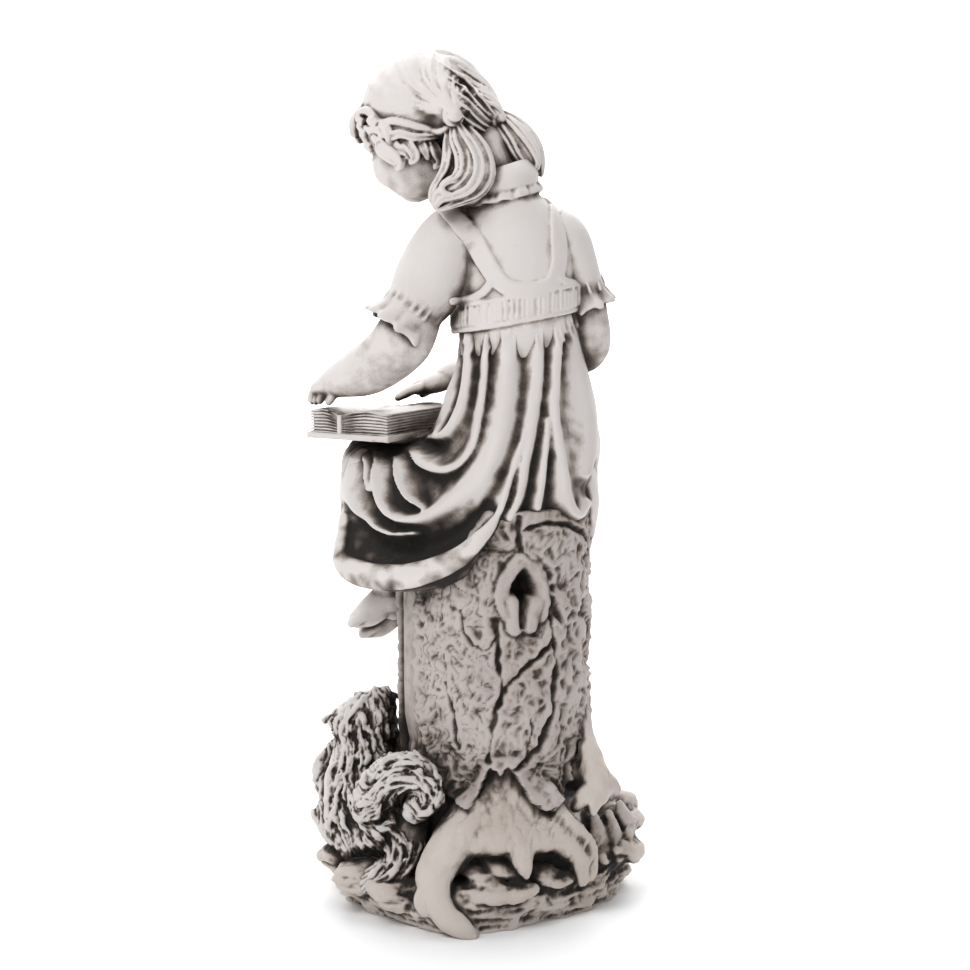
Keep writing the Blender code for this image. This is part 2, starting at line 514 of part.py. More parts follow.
# Folds on the side next to the viewer: radii from end to end, then x and z of their points
FOLDS = (
    ((0.4, 0.75, 0.7, 0.4), ((-2.6, 55.2), (-3.0, 52.9), (-3.8, 49.6), (-5.0, 47.3), (-5.9, 46.2))),
    ((0.45, 0.8, 0.85, 0.5), ((-1.0, 55.2), (-1.2, 52.9), (-1.8, 50.7), (-2.7, 48.5), (-4.0, 46.4),
                              (-5.5, 44.9))),
    ((0.5, 0.8, 0.9, 0.85, 0.5),
     ((1.0, 55.4), (0.6, 51.8), (-0.3, 48.5), (-1.5, 45.3), (-3.8, 43.6), (-5.9, 43.8), (-7.4, 45.0))),
    ((0.5, 0.8, 0.8, 0.6), ((-1.0, 44.5), (-2.9, 42.0), (-4.8, 41.5), (-7.0, 42.7), (-7.9, 44.7))),
    ((0.5, 0.9, 1.1, 1.1, 0.95, 0.8, 0.6),
     ((2.7, 55.4), (2.5, 50.7), (1.6, 47.5), (-0.1, 44.2), (-2.2, 40.3), (-4.8, 38.3),
     (-8.0, 37.4), (-10.3, 37.9), (-11.1, 40.3), (-10.6, 43.1), (-10.0, 44.5))),
    ((0.5, 0.9, 1.1, 1.1, 0.9),
     ((4.6, 56.0), (4.4, 50.7), (3.8, 46.4), (2.7, 43.1), (0.6, 38.8), (-1.6, 36.6), (-4.4, 35.2))),
    ((0.45, 0.8, 1.0, 0.9), ((5.9, 56.4), (6.1, 52.9), (6.0, 48.5), (5.1, 44.2), (4.5, 39.9), (3.4, 37.6))),
    ((0.45, 0.7, 0.9, 0.8), ((7.0, 56.8), (7.2, 52.9), (6.8, 48.5), (6.6, 45.3), (6.2, 39.9), (5.2, 38.0))),
    ((0.45, 0.8, 0.9, 0.9, 0.8),
     ((7.9, 57.0), (8.1, 52.9), (7.7, 49.6), (7.3, 45.3), (7.7, 42.0), (8.8, 38.5), (10.0, 39.0),
      (10.1, 41.4))),
    ((0.45, 0.7, 0.9, 0.6), ((8.6, 57.2), (9.2, 52.9), (10.6, 48.5), (11.6, 44.2), (11.8, 41.0),
                             (11.0, 39.7))),
    ((0.9, 1.2, 1.4, 1.3, 1.1, 0.9, 0.7),
     ((-13.6, 36.5), (-14.0, 32.9), (-12.8, 31.5), (-10.3, 31.2), (-5.9, 31.6), (-2.7, 32.9),
     (-0.3, 35.4), (1.5, 38.4), (2.7, 41.9))),
    ((0.6, 0.8, 0.8, 0.6), ((-14.0, 43.0), (-14.1, 40.0), (-13.1, 38.0), (-11.4, 36.3), (-8.5, 35.4),
                            (-5.9, 35.2))),
    ((0.35, 0.55, 0.35), ((-11.7, 44.1), (-11.8, 42.2), (-11.7, 40.0))),
    ((0.35, 0.6, 0.4), ((-8.9, 43.9), (-8.9, 41.5), (-8.0, 39.8), (-6.6, 38.9))),
)
FAR_FOLDS = 17
FOLD_DEPTH = 1.15


def in_view(points):
    """Where the viewer sees the points, as x and z over the middle of the statue."""
    nearer = VIEWER[1] / (VIEWER[1] - points[:, 1])
    return np.stack([points[:, 0] * nearer, VIEWER[2] + (points[:, 2] - VIEWER[2]) * nearer], 1)


def sink_between_folds(points, middle):
    """Sinks the cloth where the viewer sees it away from every fold."""
    view = in_view(points)
    away = np.full(len(points), 1e9)
    for _, path in FOLDS:
        away = np.minimum(away, distance_to_line(view, smooth(path, 3)))
    depth = FOLD_DEPTH * np.clip((away - 0.45) / 1.1, 0, 1) * np.clip((56.2 - points[:, 2]) / 3, 0, 1)
    inward = unit((middle - points) * (1, 1, 0))
    depth *= np.clip(inward[:, 1] * 2 + 0.9, 0, 1)
    return points + inward * depth[:, None]


def skirt_shell(columns=120):
    """The skirt without its folds, hollowed a little from below."""
    levels = np.array([smooth(list(line), 6) for line in SKIRT])
    wrapped = np.concatenate([levels[-2:], levels, levels[:3]])
    spread = np.linspace(0, len(SKIRT), columns, endpoint=False)
    middle = np.array((0.5, 1.0, 0.0))
    rings = []
    for level in range(levels.shape[1]):
        curve = smooth(wrapped[:, level], 12)
        index = (spread + 2) * 12
        low = index.astype(int)
        part = (index - low)[:, None]
        ring = sink_between_folds(curve[low] * (1 - part) + curve[low + 1] * part, middle)
        rings.append(clear_of_stump(ring, np.clip((SEAT + 8 - ring[:, 2]) / 8, 0, 1)))
    hem = rings[-1]
    for share, rise in ((0.9, 0.4), (0.8, 2.5), (0.5, 5.0)):
        ring = middle + (hem - middle) * (share, share, 1)
        ring[:, 2] = np.minimum(hem[:, 2] + rise, SEAT + 1)
        rings.append(ring)
    return skin(rings)


def skirt():
    """The skirt with its folds."""
    shell = skirt_shell()
    tree = shell.tree()
    forms = [shell]
    for radii, path in FOLDS:
        forms.append(ridge(path, np.array(radii) * 0.85, tree, 0.85, 0.3))
    levels = np.array([smooth(list(line), 3) for line in SKIRT])
    for i in range(FAR_FOLDS):
        place = 2.3 + 5.4 * i / (FAR_FOLDS - 1)
        low = int(place)
        part = place - low
        lean = 0.35 * math.sin(i * 2.1)
        line = levels[low % 11] * (1 - part) + levels[(low + 1) % 11] * part
        other = levels[(low + 1) % 11]
        line = line + (other - line) * lean * np.linspace(0, 1, len(line))[:, None]
        ways = unit(line - np.array((0.0, 2.0, 0.0)) * (1, 1, 0) - np.array((0, 0, 1.0)) * (line[:, 2:3] - 3))
        size = 0.45 + 0.4 * np.linspace(0, 1, len(line)) + 0.12 * math.sin(i * 1.7)
        forms.append(rod(line, size, 0.8, ways, steps=1))
    return forms


def legs():
    """Shins and bare feet that hang under the skirt, the right foot behind the left."""
    forms = [
        rod(((-11.0, 4.0, 41.0), (-10.6, 5.0, 34.5), (-9.7, 5.9, 29.4), (-9.2, 6.2, 27.4)),
            (3.0, 2.4, 1.6, 1.5)),
        rod(((-8.6, 9.6, 42.0), (-8.8, 9.4, 34.0), (-8.2, 9.0, 27.6), (-8.0, 9.0, 26.0)),
            (3.0, 2.4, 1.6, 1.5)),
    ]
    for heel, ball_joint, toes in (
        ((-8.6, 6.0, 28.0), (-11.6, 6.2, 26.7), (-12.6, 6.3, 26.1)),
        ((-7.8, 9.2, 26.6), (-10.8, 9.0, 25.0), (-11.8, 9.0, 24.5)),
    ):
        heel, ball_joint, toes = np.array(heel), np.array(ball_joint), np.array(toes)
        arch = (heel + ball_joint) / 2 + (0, 0, 0.5)
        forms.append(rod((heel, arch, ball_joint, toes), (1.7, 1.75, 1.6, 1.2), 0.9, (0, 0, 1), 12))
        side = unit(np.cross(toes - heel, (0, 0, 1)))
        for i in range(5):
            start = ball_joint + side * (i - 2) * 0.6
            tip = toes + side * (i - 2) * 0.62 + unit(toes - heel) * (0.75 - 0.2 * abs(i - 0.6))
            forms.append(rod((start, tip), (0.6, 0.5 if i else 0.65), 0.9, (0, 0, 1), 8, 2))
    forms.append(ball((-11.0, 3.6, 41.2), (3.1, 3.3, 3.0)))
    forms.append(ball((-8.4, 9.2, 45.4), (3.0, 3.2, 3.0)))
    for form in forms:
        form.points = clear_of_stump(form.points)
    return forms


# Girl: trunk of the body, bodice and arms

TORSO = (
    (43.5, 1.0, 0.5, 7.0, 5.6), (48.0, 2.0, 0.0, 5.9, 4.9), (52.0, 2.7, -0.7, 5.4, 4.4),
    (56.0, 3.0, -1.0, 5.75, 4.4),
    (60.0, 3.0, -1.0, 5.95, 4.4), (63.2, 2.8, -0.8, 6.1, 4.1), (65.6, 2.4, -0.6, 5.2, 3.6),
    (67.4, 1.9, -0.5, 3.6, 3.0), (68.6, 1.6, -0.5, 2.6, 2.6),
)


def torso():
    """The body under the blouse, from the seat to the neck."""
    turn = np.linspace(0, 2 * math.pi, 48, endpoint=False)
    rings = []
    for z, x, y, wide, deep in smooth(TORSO, 4):
        bow = 1 + 0.04 * np.cos(2 * turn)
        rings.append(np.stack([x + np.sin(turn) * wide * bow, y - np.cos(turn) * deep * bow, turn * 0 + z],
                              1))
    return skin(rings)


def bodice(body):
    """The pinafore's gathered band and straps, and the round collar."""
    tree = body.tree()
    wide = STRAP_WIDTH / UNIT / 2
    flat = STRAP_THICKNESS / STRAP_WIDTH
    forms = []
    straps = (
        (-3.0, 67.2), (-2.2, 65.6), (-0.8, 62.6), (0.8, 60.2), (2.2, 59.3),
        (4.3, 59.1), (6.2, 59.7), (7.0, 61.4), (7.0, 63.8), (6.8, 66.0), (6.4, 67.6),
    )
    forms.append(ridge(straps, (wide, wide, wide * 0.8, wide * 0.8, wide, wide), tree, flat, 0.3, sides=12))
    under = ((-3.2, 58.2), (-1.4, 58.3), (-0.2, 58.9), (0.6, 59.8))
    forms.append(ridge(under, (0.5, 0.5, 0.5, 0.5), tree, 0.6, 0.35))
    seam = [(3.0 + 6.15 * math.sin(a), -1.0 - 4.85 * math.cos(a),
             56.3 + 1.1 * math.sin(a)) for a in np.linspace(0, 2 * math.pi, 33)]
    forms.append(rod(seam, [0.28] * len(seam), steps=1, sides=8))
    band = []
    for share in (0.0, 0.15, 0.5, 0.85, 1.0):
        ring = []
        for a in np.linspace(0, 2 * math.pi, 160, endpoint=False):
            grow = 1.065 if 0.1 < share < 0.9 else 1.0
            z = 56.3 + 1.1 * math.sin(a) + 2.4 * share
            ring.append((3.0 + 5.85 * grow * math.sin(a), -1.0 - 4.45 * grow * math.cos(a), z))
        band.append(ring)
    forms.append(skin(band))
    for side in (1, -1):
        front = (
            (3.0 + side * 3.6, 3.3, 58.6), (2.8 + side * 3.4, 3.3, 62.0), (2.6 + side * 3.7, 2.2, 65.2),
            (2.5 + side * 3.8, 0.0, 66.9), (2.5 + side * 3.9, -1.4, 66.9),
        )
        ways = ((0, 1, 0), (0, 1, 0.1), (0, 1, 0.8), (0, 0, 1), (0, -0.3, 1))
        forms.append(rod(front, [wide] * 5, flat, ways, 12))
    return forms


def collar():
    """A round collar with a ruffled edge."""
    roll, edge, ways = [], [], []
    for a in np.linspace(0, 2 * math.pi, 49):
        out = np.array((math.sin(a), -math.cos(a), 0.0))
        tilt = 1.1 * math.sin(a) - 0.3 * math.cos(a)
        roll.append(np.array((1.9, -0.9, 68.0 + tilt)) + out * (3.2, 3.2, 0))
        wave = 0.22 * math.sin(a * 11)
        edge.append(np.array((1.9, -0.9, 66.9 + tilt + wave * 0.6)) + out * (4.2 + wave, 4.2 + wave, 0))
        ways.append(unit(out + (0, 0, 0.7)))
    return [
        rod(roll, [1.05] * 49, 0.45, ways, 12, 1),
        rod(edge, [0.5] * 49, 0.6, ways, 8, 1),
        rod(((1.9, -0.8, 65.5), (1.2, -1.0, 69.0), (-0.6, -0.4, 73.0)), (3.0, 2.5, 2.8)),
    ]


def ruffle(centre, axis, radius, waves, width):
    """A gathered frill round an arm, standing away from it."""
    axis = unit(axis)
    side = unit(np.cross(axis, (0, 1, 0)))
    out = np.cross(side, axis)
    rings = []
    profile = ((-0.5, 0.93), (0.0, 1.02), (0.5, 1.16), (0.9, 1.28), (1.1, 1.24), (1.05, 1.1), (0.5, 0.95),
               (0.0, 0.8))
    for along, grow in profile:
        ring = []
        for a in np.linspace(0, 2 * math.pi, 120, endpoint=False):
            wave = math.sin(a * waves) + 0.4 * math.sin(a * (waves * 2 - 3) + 1)
            r = radius * grow + 0.22 * wave * max(along, 0) * 1.4
            lift = along * width + 0.16 * wave * max(along, 0)
            ring.append(np.array(centre) + axis * lift + (side * math.cos(a) + out * math.sin(a)) * r)
        rings.append(ring)
    return skin(rings)


def hand(wrist, knuckles, fingers, spread, bend):
    """A small hand: a palm, four fingers that bend down and a thumb."""
    wrist, knuckles, fingers = np.array(wrist, float), np.array(knuckles, float), np.array(fingers, float)
    spread = unit(spread)
    down = np.array(bend, float)
    forms = [rod((wrist, (wrist + knuckles) / 2, knuckles), (1.35, 1.5, 1.25), 0.72, unit(-down))]
    for i in range(4):
        shift = spread * (i - 1.5) * 0.66
        reach_out = (fingers - knuckles) * (1 - 0.09 * abs(i - 1.4))
        forms.append(rod((knuckles + shift, knuckles + shift * 1.05 + reach_out * 0.55 - down * 0.12,
                          knuckles + shift * 1.05 + reach_out), (0.56, 0.52, 0.42), 1, None, 8))
    thumb = knuckles * 0.45 + wrist * 0.55 + spread * 1.2
    forms.append(rod((thumb - spread * 0.5, thumb + (fingers - knuckles) * 0.35 + spread * 0.2 + down * 0.3,
                      thumb + (fingers - knuckles) * 0.75 + down * 0.5), (0.6, 0.55, 0.42), 1, None, 8))
    return forms


def arms():
    """Puffed sleeves with frills, bare forearms and hands on the book."""
    forms = [
        rod(((-0.6, -0.6, 64.6), (-2.6, -1.1, 62.9), (-4.9, -2.0, 59.4), (-6.8, -2.8, 56.6)),
            (2.4, 3.1, 3.45, 3.3), sides=16),
        ruffle((-7.3, -3.0, 55.7), (-0.62, -0.1, -0.78), 3.3, 11, RUFFLE_WIDTH / UNIT),
        rod(((-6.6, -2.8, 57.0), (-7.7, -3.2, 54.7), (-9.4, -2.2, 52.9), (-11.6, -0.6, 51.5),
             (-13.9, 1.1, 50.5), (-14.8, 1.7, 50.1)), (2.6, 2.85, 2.65, 2.45, 1.75, 1.45), sides=14),
        rod(((5.6, -0.4, 65.2), (7.6, -0.3, 63.8), (8.8, -0.1, 60.8), (9.5, 0.1, 59.2)),
            (2.3, 2.8, 2.75, 2.6), sides=16),
        ruffle((9.8, 0.1, 58.7), (0.35, 0.1, -0.93), 2.7, 10, RUFFLE_WIDTH / UNIT),
        rod(((9.6, 0.0, 59.6), (10.3, 0.2, 56.4), (10.5, 0.8, 53.9), (8.6, 4.2, 52.8), (3.4, 8.0, 51.6),
             (-2.6, 8.8, 50.4), (-3.6, 8.8, 50.2)), (2.0, 2.15, 2.15, 2.1, 1.85, 1.5, 1.4), sides=14),
    ]
    forms += hand((-14.4, 1.5, 50.2), (-15.8, 2.4, 49.7), (-16.7, 3.0, 48.2), (0.5, -0.86, 0), (-0.1, 0, -1))
    forms += hand((-3.4, 8.8, 50.1), (-6.2, 8.3, 49.3), (-8.7, 7.5, 48.2), (0.2, 1, 0), (0, 0, -1))
    return forms


# Book

BOOK_NEAR_CORNER = (-9.3, -2.1, 44.7)
LAP_WAY = (-0.866, 0.5, 0.0)
BOOK_SIDE = (0.5, 0.866, 0.0)
GUTTER = 0.6  # where the open pages meet, as a share of the book's length
PAGE_INSET = 0.3


def book():
    """A thick open book: a cover, and two blocks of pages that dip where they meet."""
    way, side, up = np.array(LAP_WAY), np.array(BOOK_SIDE), np.array((0.0, 0.0, 1.0))
    corner = np.array(BOOK_NEAR_CORNER)
    long, wide, thick, cover = (size / UNIT for size in (BOOK_LENGTH, BOOK_WIDTH, BOOK_THICKNESS, BOOK_COVER))

    def prism(outline, start, end):
        edges = ([corner + way * a + up * b + side * c for a, b in outline] for c in (start, end))
        return skin(list(edges))

    board = ((0.0, 0.0), (long, 0.0), (long, cover), (0.0, cover))
    gutter = long * GUTTER
    near = [(PAGE_INSET, cover * 0.5), (gutter, cover * 0.5), (gutter, thick - 0.9)]
    near += [(gutter * (1 - s), thick - 0.75 * (1 - s) ** 2 - 0.1 * s) for s in (0.15, 0.35, 0.6, 0.85)]
    near += [(PAGE_INSET, thick - 0.35)]
    rest = long - gutter
    far = [(gutter, cover * 0.5), (long - PAGE_INSET, cover * 0.5), (long - PAGE_INSET, thick - 0.35)]
    far += [(gutter + rest * s, thick - 0.75 * (1 - s) ** 2 - 0.1 * s) for s in (0.85, 0.6, 0.35, 0.15)]
    far += [(gutter, thick - 0.9)]
    strip = ((gutter - 0.3, 0.2), (gutter + 0.3, 0.2), (gutter + 0.3, thick - 0.5),
             (gutter - 0.3, thick - 0.5))
    return [
        prism(board, 0.0, wide),
        prism(near, PAGE_INSET, wide - PAGE_INSET),
        prism(far, PAGE_INSET, wide - PAGE_INSET),
        prism(strip, PAGE_INSET - 0.25, wide - PAGE_INSET + 0.25),
    ]


# Head

HEAD_MIDDLE = np.array((-5.1, 1.6, 74.7))
HEAD_SCALE = 0.95
HEAD_TURN = unit((-0.74, 0.67, 0.0))
HEAD_BOW = math.radians(35)
FACE_WAY = HEAD_TURN * math.cos(HEAD_BOW) - np.array((0, 0, math.sin(HEAD_BOW)))
CROWN_WAY = HEAD_TURN * math.sin(HEAD_BOW) + np.array((0, 0, math.cos(HEAD_BOW)))
LEFT_WAY = np.cross(CROWN_WAY, FACE_WAY)
HEAD_AXES = np.array((LEFT_WAY, FACE_WAY, CROWN_WAY))


def on_head(points):
    """Points given as left, forward and up of the head's middle, set in the drawing."""
    return np.asarray(points, float) * HEAD_SCALE @ HEAD_AXES + HEAD_MIDDLE


def head_ball(centre, radii):
    """An ellipsoid in the head's own directions."""
    return ball(on_head(centre), np.array(radii) * HEAD_SCALE, HEAD_AXES)


def head_rod(points, radii, flat=1.0, facing=None, sides=8):
    """A rod given in the head's own directions."""
    if facing is not None:
        facing = np.asarray(facing, float) @ HEAD_AXES
    return rod(on_head(points), np.array(radii) * HEAD_SCALE, flat, facing, sides)


def face():
    """A calm child's face with lowered eyes."""
    forms = [
        head_ball((0, 0.0, 0.6), (5.6, 6.1, 5.9)),
        head_ball((0, 1.8, -2.3), (4.6, 4.6, 4.5)),
        head_ball((0, 4.5, -5.1), (1.6, 1.3, 1.2)),
        head_rod(((0, 6.0, 0.2), (0, 6.4, -0.9), (0, 7.0, -2.0)), (0.5, 0.5, 0.7)),
        head_rod(((-0.95, 5.9, -3.7), (0, 6.45, -3.5), (0.95, 5.9, -3.7)), (0.2, 0.4, 0.2)),
        head_rod(((-0.8, 5.8, -4.1), (0, 6.25, -4.25), (0.8, 5.8, -4.1)), (0.2, 0.42, 0.2)),
    ]
    for side in (1, -1):
        forms.append(head_ball((side * 2.6, 3.4, -2.9), (2.3, 2.2, 2.2)))
        forms.append(head_ball((side * 2.05, 4.85, -0.9), (1.15, 0.95, 0.85)))
        forms.append(head_rod(((side * 1.0, 5.7, -1.15), (side * 2.1, 5.85, -1.6), (side * 3.1, 4.95, -1.1)),
                              (0.16, 0.24, 0.14)))
        forms.append(head_rod(((side * 0.9, 5.95, 0.35), (side * 2.2, 5.65, 0.7), (side * 3.5, 4.65, 0.3)),
                              (0.25, 0.34, 0.2)))
        forms.append(head_ball((side * 0.6, 6.35, -2.2), (0.42, 0.42, 0.36)))
        forms.append(head_rod(((side * 5.1, 0.2, 0.0), (side * 5.7, -0.4, -0.9), (side * 5.1, 0.3, -2.1)),
                              (0.5, 0.65, 0.5)))
    return forms


HAIR_MIDDLE = np.array((0.0, -0.9, 1.3))
TIE = np.array((3.2, -4.8, -2.5))
LOCKS_A_SIDE = 8


def hair_cap():
    """The hair as a smooth cap."""
    return head_ball(HAIR_MIDDLE, (5.8, 6.3, 5.6))


def swept(tree, directions, radii, lift, flat):
    """A lock that lies on the cap, along directions from the cap's middle."""
    spots, ways = [], []
    middle = on_head(HAIR_MIDDLE)
    for direction in smooth(directions, 4):
        way = unit(direction @ HEAD_AXES)
        hit, _, _, _ = tree.ray_cast(Vector(middle), Vector(way))
        spots.append(np.array(hit) + way * lift)
        ways.append(way)
    size = np.interp(np.linspace(0, 1, len(spots)), np.linspace(0, 1, len(radii)), radii)
    return rod(spots, size, flat, ways, 8, 1)


def swept_hair(tree):
    """Locks from the parting to the tie on either side."""
    forms = []
    for side in (1, -1):
        tie = (TIE - HAIR_MIDDLE) * (side, 1, 1)
        for i in range(LOCKS_A_SIDE):
            share = i / (LOCKS_A_SIDE - 1)
            angle = math.radians(-50 + 160 * share)
            start = np.array((side * 0.5, -math.sin(angle) * 6, math.cos(angle) * 6))
            aim = tie + np.array((0.0, 0.6, 0.9)) * (1 - share)
            bulge = (start + aim) / 2 + np.array((side * 2.6, 0, 0)) * (1.2 - share)
            forms.append(swept(tree, (start, bulge, aim), (0.45, 0.8, 0.75, 0.5), 0.15, 0.85))
    return forms


PIGTAILS = (
    (((-3.0, -4.0, 75.1), (-2.2, -5.2, 72.9), (-1.9, -5.6, 70.7), (-2.3, -5.5, 68.7), (-3.8, -5.0, 67.2)),
     (0.9, 1.65, 2.0, 1.9, 0.9), (0, -1, 0.2)),
    (((0.8, 0.9, 76.0), (2.4, -0.6, 74.8), (3.8, -1.5, 73.0), (4.5, -1.8, 71.6), (4.9, -1.8, 70.8)),
     (0.9, 1.5, 1.6, 1.25, 0.7), (0.3, -1, 0.3)),
)
TIES = ((-2.65, -4.0, 75.4), (0.7, 1.1, 75.9))


def pigtails():
    """Two bunches of hair, each a bundle of locks below its tie."""
    forms = [ball(spot, (1.25, 1.2, 1.1)) for spot in TIES]
    for path, radii, facing in PIGTAILS:
        line, radii = np.array(path), np.array(radii)
        forms.append(rod(line, radii * 0.85, 0.8, facing))
        along = unit(line[-1] - line[0])
        across = unit(np.cross(along, facing))
        out = unit(np.cross(across, along))
        out = out if out @ np.array(facing) > 0 else -out
        for i in range(5):
            turn = math.radians(-70 + 35 * i)
            way = across * math.sin(turn) + out * math.cos(turn) * 0.8
            strand = line + way * (radii * 0.62)[:, None]
            forms.append(rod(strand, radii * 0.42, 0.9, facing, 8))
    return forms


CURLS = 13


def curls():
    """Curls over the forehead and down the temples."""
    forms = []
    for i in range(CURLS):
        angle = math.radians(-100 + 200 * i / (CURLS - 1))
        root = np.array((math.sin(angle) * 5.3, 3.5 + 1.9 * math.cos(angle), -0.7 + 3.6 * math.cos(angle)))
        out = unit(root - np.array((0, 0.5, -1.0)))
        drop = 1.1 + 1.0 * abs(math.sin(angle))
        turn = 1 if i % 2 else -1
        path = [root - out * 0.3 + (0, -1.2, 1.3), root + out * 0.5,
                root + out * 0.7 + (0.8 * turn, 0, -drop * 0.6)]
        path += [root + out * 0.6 + (0.3 * turn, 0, -drop * 1.15),
                 root + out * 0.6 + (-0.4 * turn, 0, -drop * 0.8)]
        forms.append(head_rod(path, (0.7, 0.85, 0.75, 0.6, 0.35)))
    for side in (1, -1):
        for i in range(4):
            start = np.array((side * 5.6, 2.2 - i * 1.5, -0.2 - i * 0.3))
            path = [start + (0, 0, 1.0), start + (side * 0.4, -0.1, -0.6), start + (0, 0.3, -2.0)]
            path += [start + (-side * 0.3, -0.2, -2.9 - 0.4 * (i % 2))]
            forms.append(head_rod(path, (0.7, 0.8, 0.65, 0.3)))
    return forms


def hair():
    """All the hair."""
    cap = hair_cap()
    return [cap] + swept_hair(cap.tree()) + pigtails() + curls()


# Casting

def as_object(name, form):
    """A mesh object of a form, in metres and raised to the base's thickness."""
    mesh = bpy.data.meshes.new(name)
    mesh.from_pydata((form.points * UNIT).tolist(), [], form.faces)
    made = bpy.data.objects.new(name, mesh)
    bpy.context.scene.collection.objects.link(made)
    return made


def evaluated(made):
    """The object's mesh with its modifiers applied."""
    bpy.context.view_layer.update()
    graph = bpy.context.evaluated_depsgraph_get()
    return bpy.data.meshes.new_from_object(made.evaluated_get(graph))


def keep_largest(bm):
    """Removes loose crumbs, so that one body is left."""
    left = set(bm.verts)
    bodies = []
    while left:
        body, front = set(), [left.pop()]
        while front:
            vert = front.pop()
            body.add(vert)
            for edge in vert.link_edges:
                other = edge.other_vert(vert)
                if other in left:
                    left.remove(other)
                    front.append(other)
        bodies.append(body)
    largest = max(bodies, key=len)
    crumbs = [vert for body in bodies if body is not largest for vert in body]
    bmesh.ops.delete(bm, geom=crumbs, context="VERTS")


def cut_underside(bm):
    """Cuts the casting flat at the ground, and fills the cut."""
    everything = bm.verts[:] + bm.edges[:] + bm.faces[:]
    bmesh.ops.bisect_plane(bm, geom=everything, plane_co=(0, 0, 0), plane_no=(0, 0, -1), clear_outer=True)
    rim = [edge for edge in bm.edges if edge.is_boundary]
    bmesh.ops.holes_fill(bm, edges=rim, sides=0)
    bmesh.ops.triangulate(bm, faces=bm.faces[:])
    bmesh.ops.recalc_face_normals(bm, faces=bm.faces[:])


def cast(name, forms):
    """Merges the forms into one thin-faced solid with a flat underside."""
    clay = as_object(name + "_clay", joined(forms))
    remesh = clay.modifiers.new("Merge", "REMESH")
    remesh.mode = "VOXEL"
    remesh.voxel_size = CAST_GRAIN
    soften = clay.modifiers.new("Soften", "SMOOTH")
    soften.factor = 0.5
    soften.iterations = max(1, round((CAST_SOFTENING / CAST_GRAIN) ** 2))
    mesh = evaluated(clay)
    bm = bmesh.new()
    bm.from_mesh(mesh)
    keep_largest(bm)
    bmesh.ops.triangulate(bm, faces=bm.faces[:])
    bm.to_mesh(mesh)
    count = len(mesh.polygons)
    bm.free()
    whole = bpy.data.objects.new(name + "_whole", mesh)
    bpy.context.scene.collection.objects.link(whole)
    thin = whole.modifiers.new("Thin", "DECIMATE")
    thin.ratio = min(1.0, CAST_FACES / count)
    mesh = evaluated(whole)
    bm = bmesh.new()
    bm.from_mesh(mesh)
    cut_underside(bm)
    bm.to_mesh(mesh)
    bm.free()
    for spent in (clay, whole):
        bpy.data.objects.remove(spent)
    mesh.name = name
    made = bpy.data.objects.new(name, mesh)
    bpy.context.scene.collection.objects.link(made)
    return made


def cast_stone():
    """Pale cast stone."""
    stone = bpy.data.materials.new("cast_stone")
    stone.use_nodes = True
    surface = stone.node_tree.nodes["Principled BSDF"]
    surface.inputs["Base Color"].default_value = (0.62, 0.58, 0.55, 1)
    surface.inputs["Roughness"].default_value = 0.7
    surface.inputs["Metallic"].default_value = 0.0
    return stone


def statue_forms():
    """All the forms, with the figure raised to the base's real thickness."""
    bark = stump()
    figure = [bark] + knot(bark) + roots() + puppy() + skirt() + legs()
    body = torso()
    figure += [body] + bodice(body) + collar() + arms() + book() + face() + hair()
    for form in figure:
        form.points = form.points + (0, 0, LIFT)
    return base() + stones() + figure


def main():
    """Builds the statue in an empty scene."""
    for old in list(bpy.data.objects):
        bpy.data.objects.remove(old)
    statue = cast("reading_girl_statue", statue_forms())
    statue.data.materials.append(cast_stone())


main()
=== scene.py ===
"""Dresses the frame of a garden statue cast in stone: a girl who reads on a tree stump.

Every piece is carved from overlapping closed forms in the drawing's units, merged finely,
and rubbed with a dark wash that stays in its hollows, with painted shade laid over it in deep hollows,
between pieces and on faces that look down.
"""

import logging
import math
import random
from dataclasses import dataclass, field
from enum import Enum
from typing import Any, Optional, Sequence

import bmesh
import bpy
import numpy as np
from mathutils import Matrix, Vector
from mathutils.bvhtree import BVHTree

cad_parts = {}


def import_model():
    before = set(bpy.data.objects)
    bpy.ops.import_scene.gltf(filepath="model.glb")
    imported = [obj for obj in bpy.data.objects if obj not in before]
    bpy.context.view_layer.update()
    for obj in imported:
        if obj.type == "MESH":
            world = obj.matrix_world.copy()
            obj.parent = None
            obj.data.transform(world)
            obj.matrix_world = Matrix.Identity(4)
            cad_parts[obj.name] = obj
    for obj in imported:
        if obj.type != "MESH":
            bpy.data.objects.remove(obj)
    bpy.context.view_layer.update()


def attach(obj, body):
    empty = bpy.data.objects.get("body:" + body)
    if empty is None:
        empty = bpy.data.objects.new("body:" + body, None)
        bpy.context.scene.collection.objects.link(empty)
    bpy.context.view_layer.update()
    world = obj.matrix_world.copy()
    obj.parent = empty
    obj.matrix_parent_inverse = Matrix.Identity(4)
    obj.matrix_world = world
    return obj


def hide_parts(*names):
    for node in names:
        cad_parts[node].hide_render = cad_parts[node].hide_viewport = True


LOG = logging.getLogger("reading_girl")

FIGURE_HEIGHT = 0.82
BASE_WIDTH = 0.305
BASE_DEPTH = 0.285
BASE_THICKNESS = 0.045
STUMP_WIDTH = 0.186
BOOK_WIDTH = 0.122
BOOK_LENGTH = 0.094
BOOK_THICKNESS = 0.031
BOOK_COVER = 0.006
STRAP_WIDTH = 0.019
DRAWN_HEIGHT = 82.4
DRAWN_GROUND = 4.5
SEAT = 38.5
UNIT = FIGURE_HEIGHT / DRAWN_HEIGHT
LIFT = BASE_THICKNESS / UNIT - DRAWN_GROUND
VIEWER = np.array((0.0, -200.0, 66.0))
NODE = "reading_girl_statue"

Array = np.ndarray

TURN = 2 * math.pi


def to_metres(points: Array) -> Array:
    """Takes points from the drawing to metres, raised to the base's thickness."""
    return (points + (0, 0, LIFT)) * UNIT


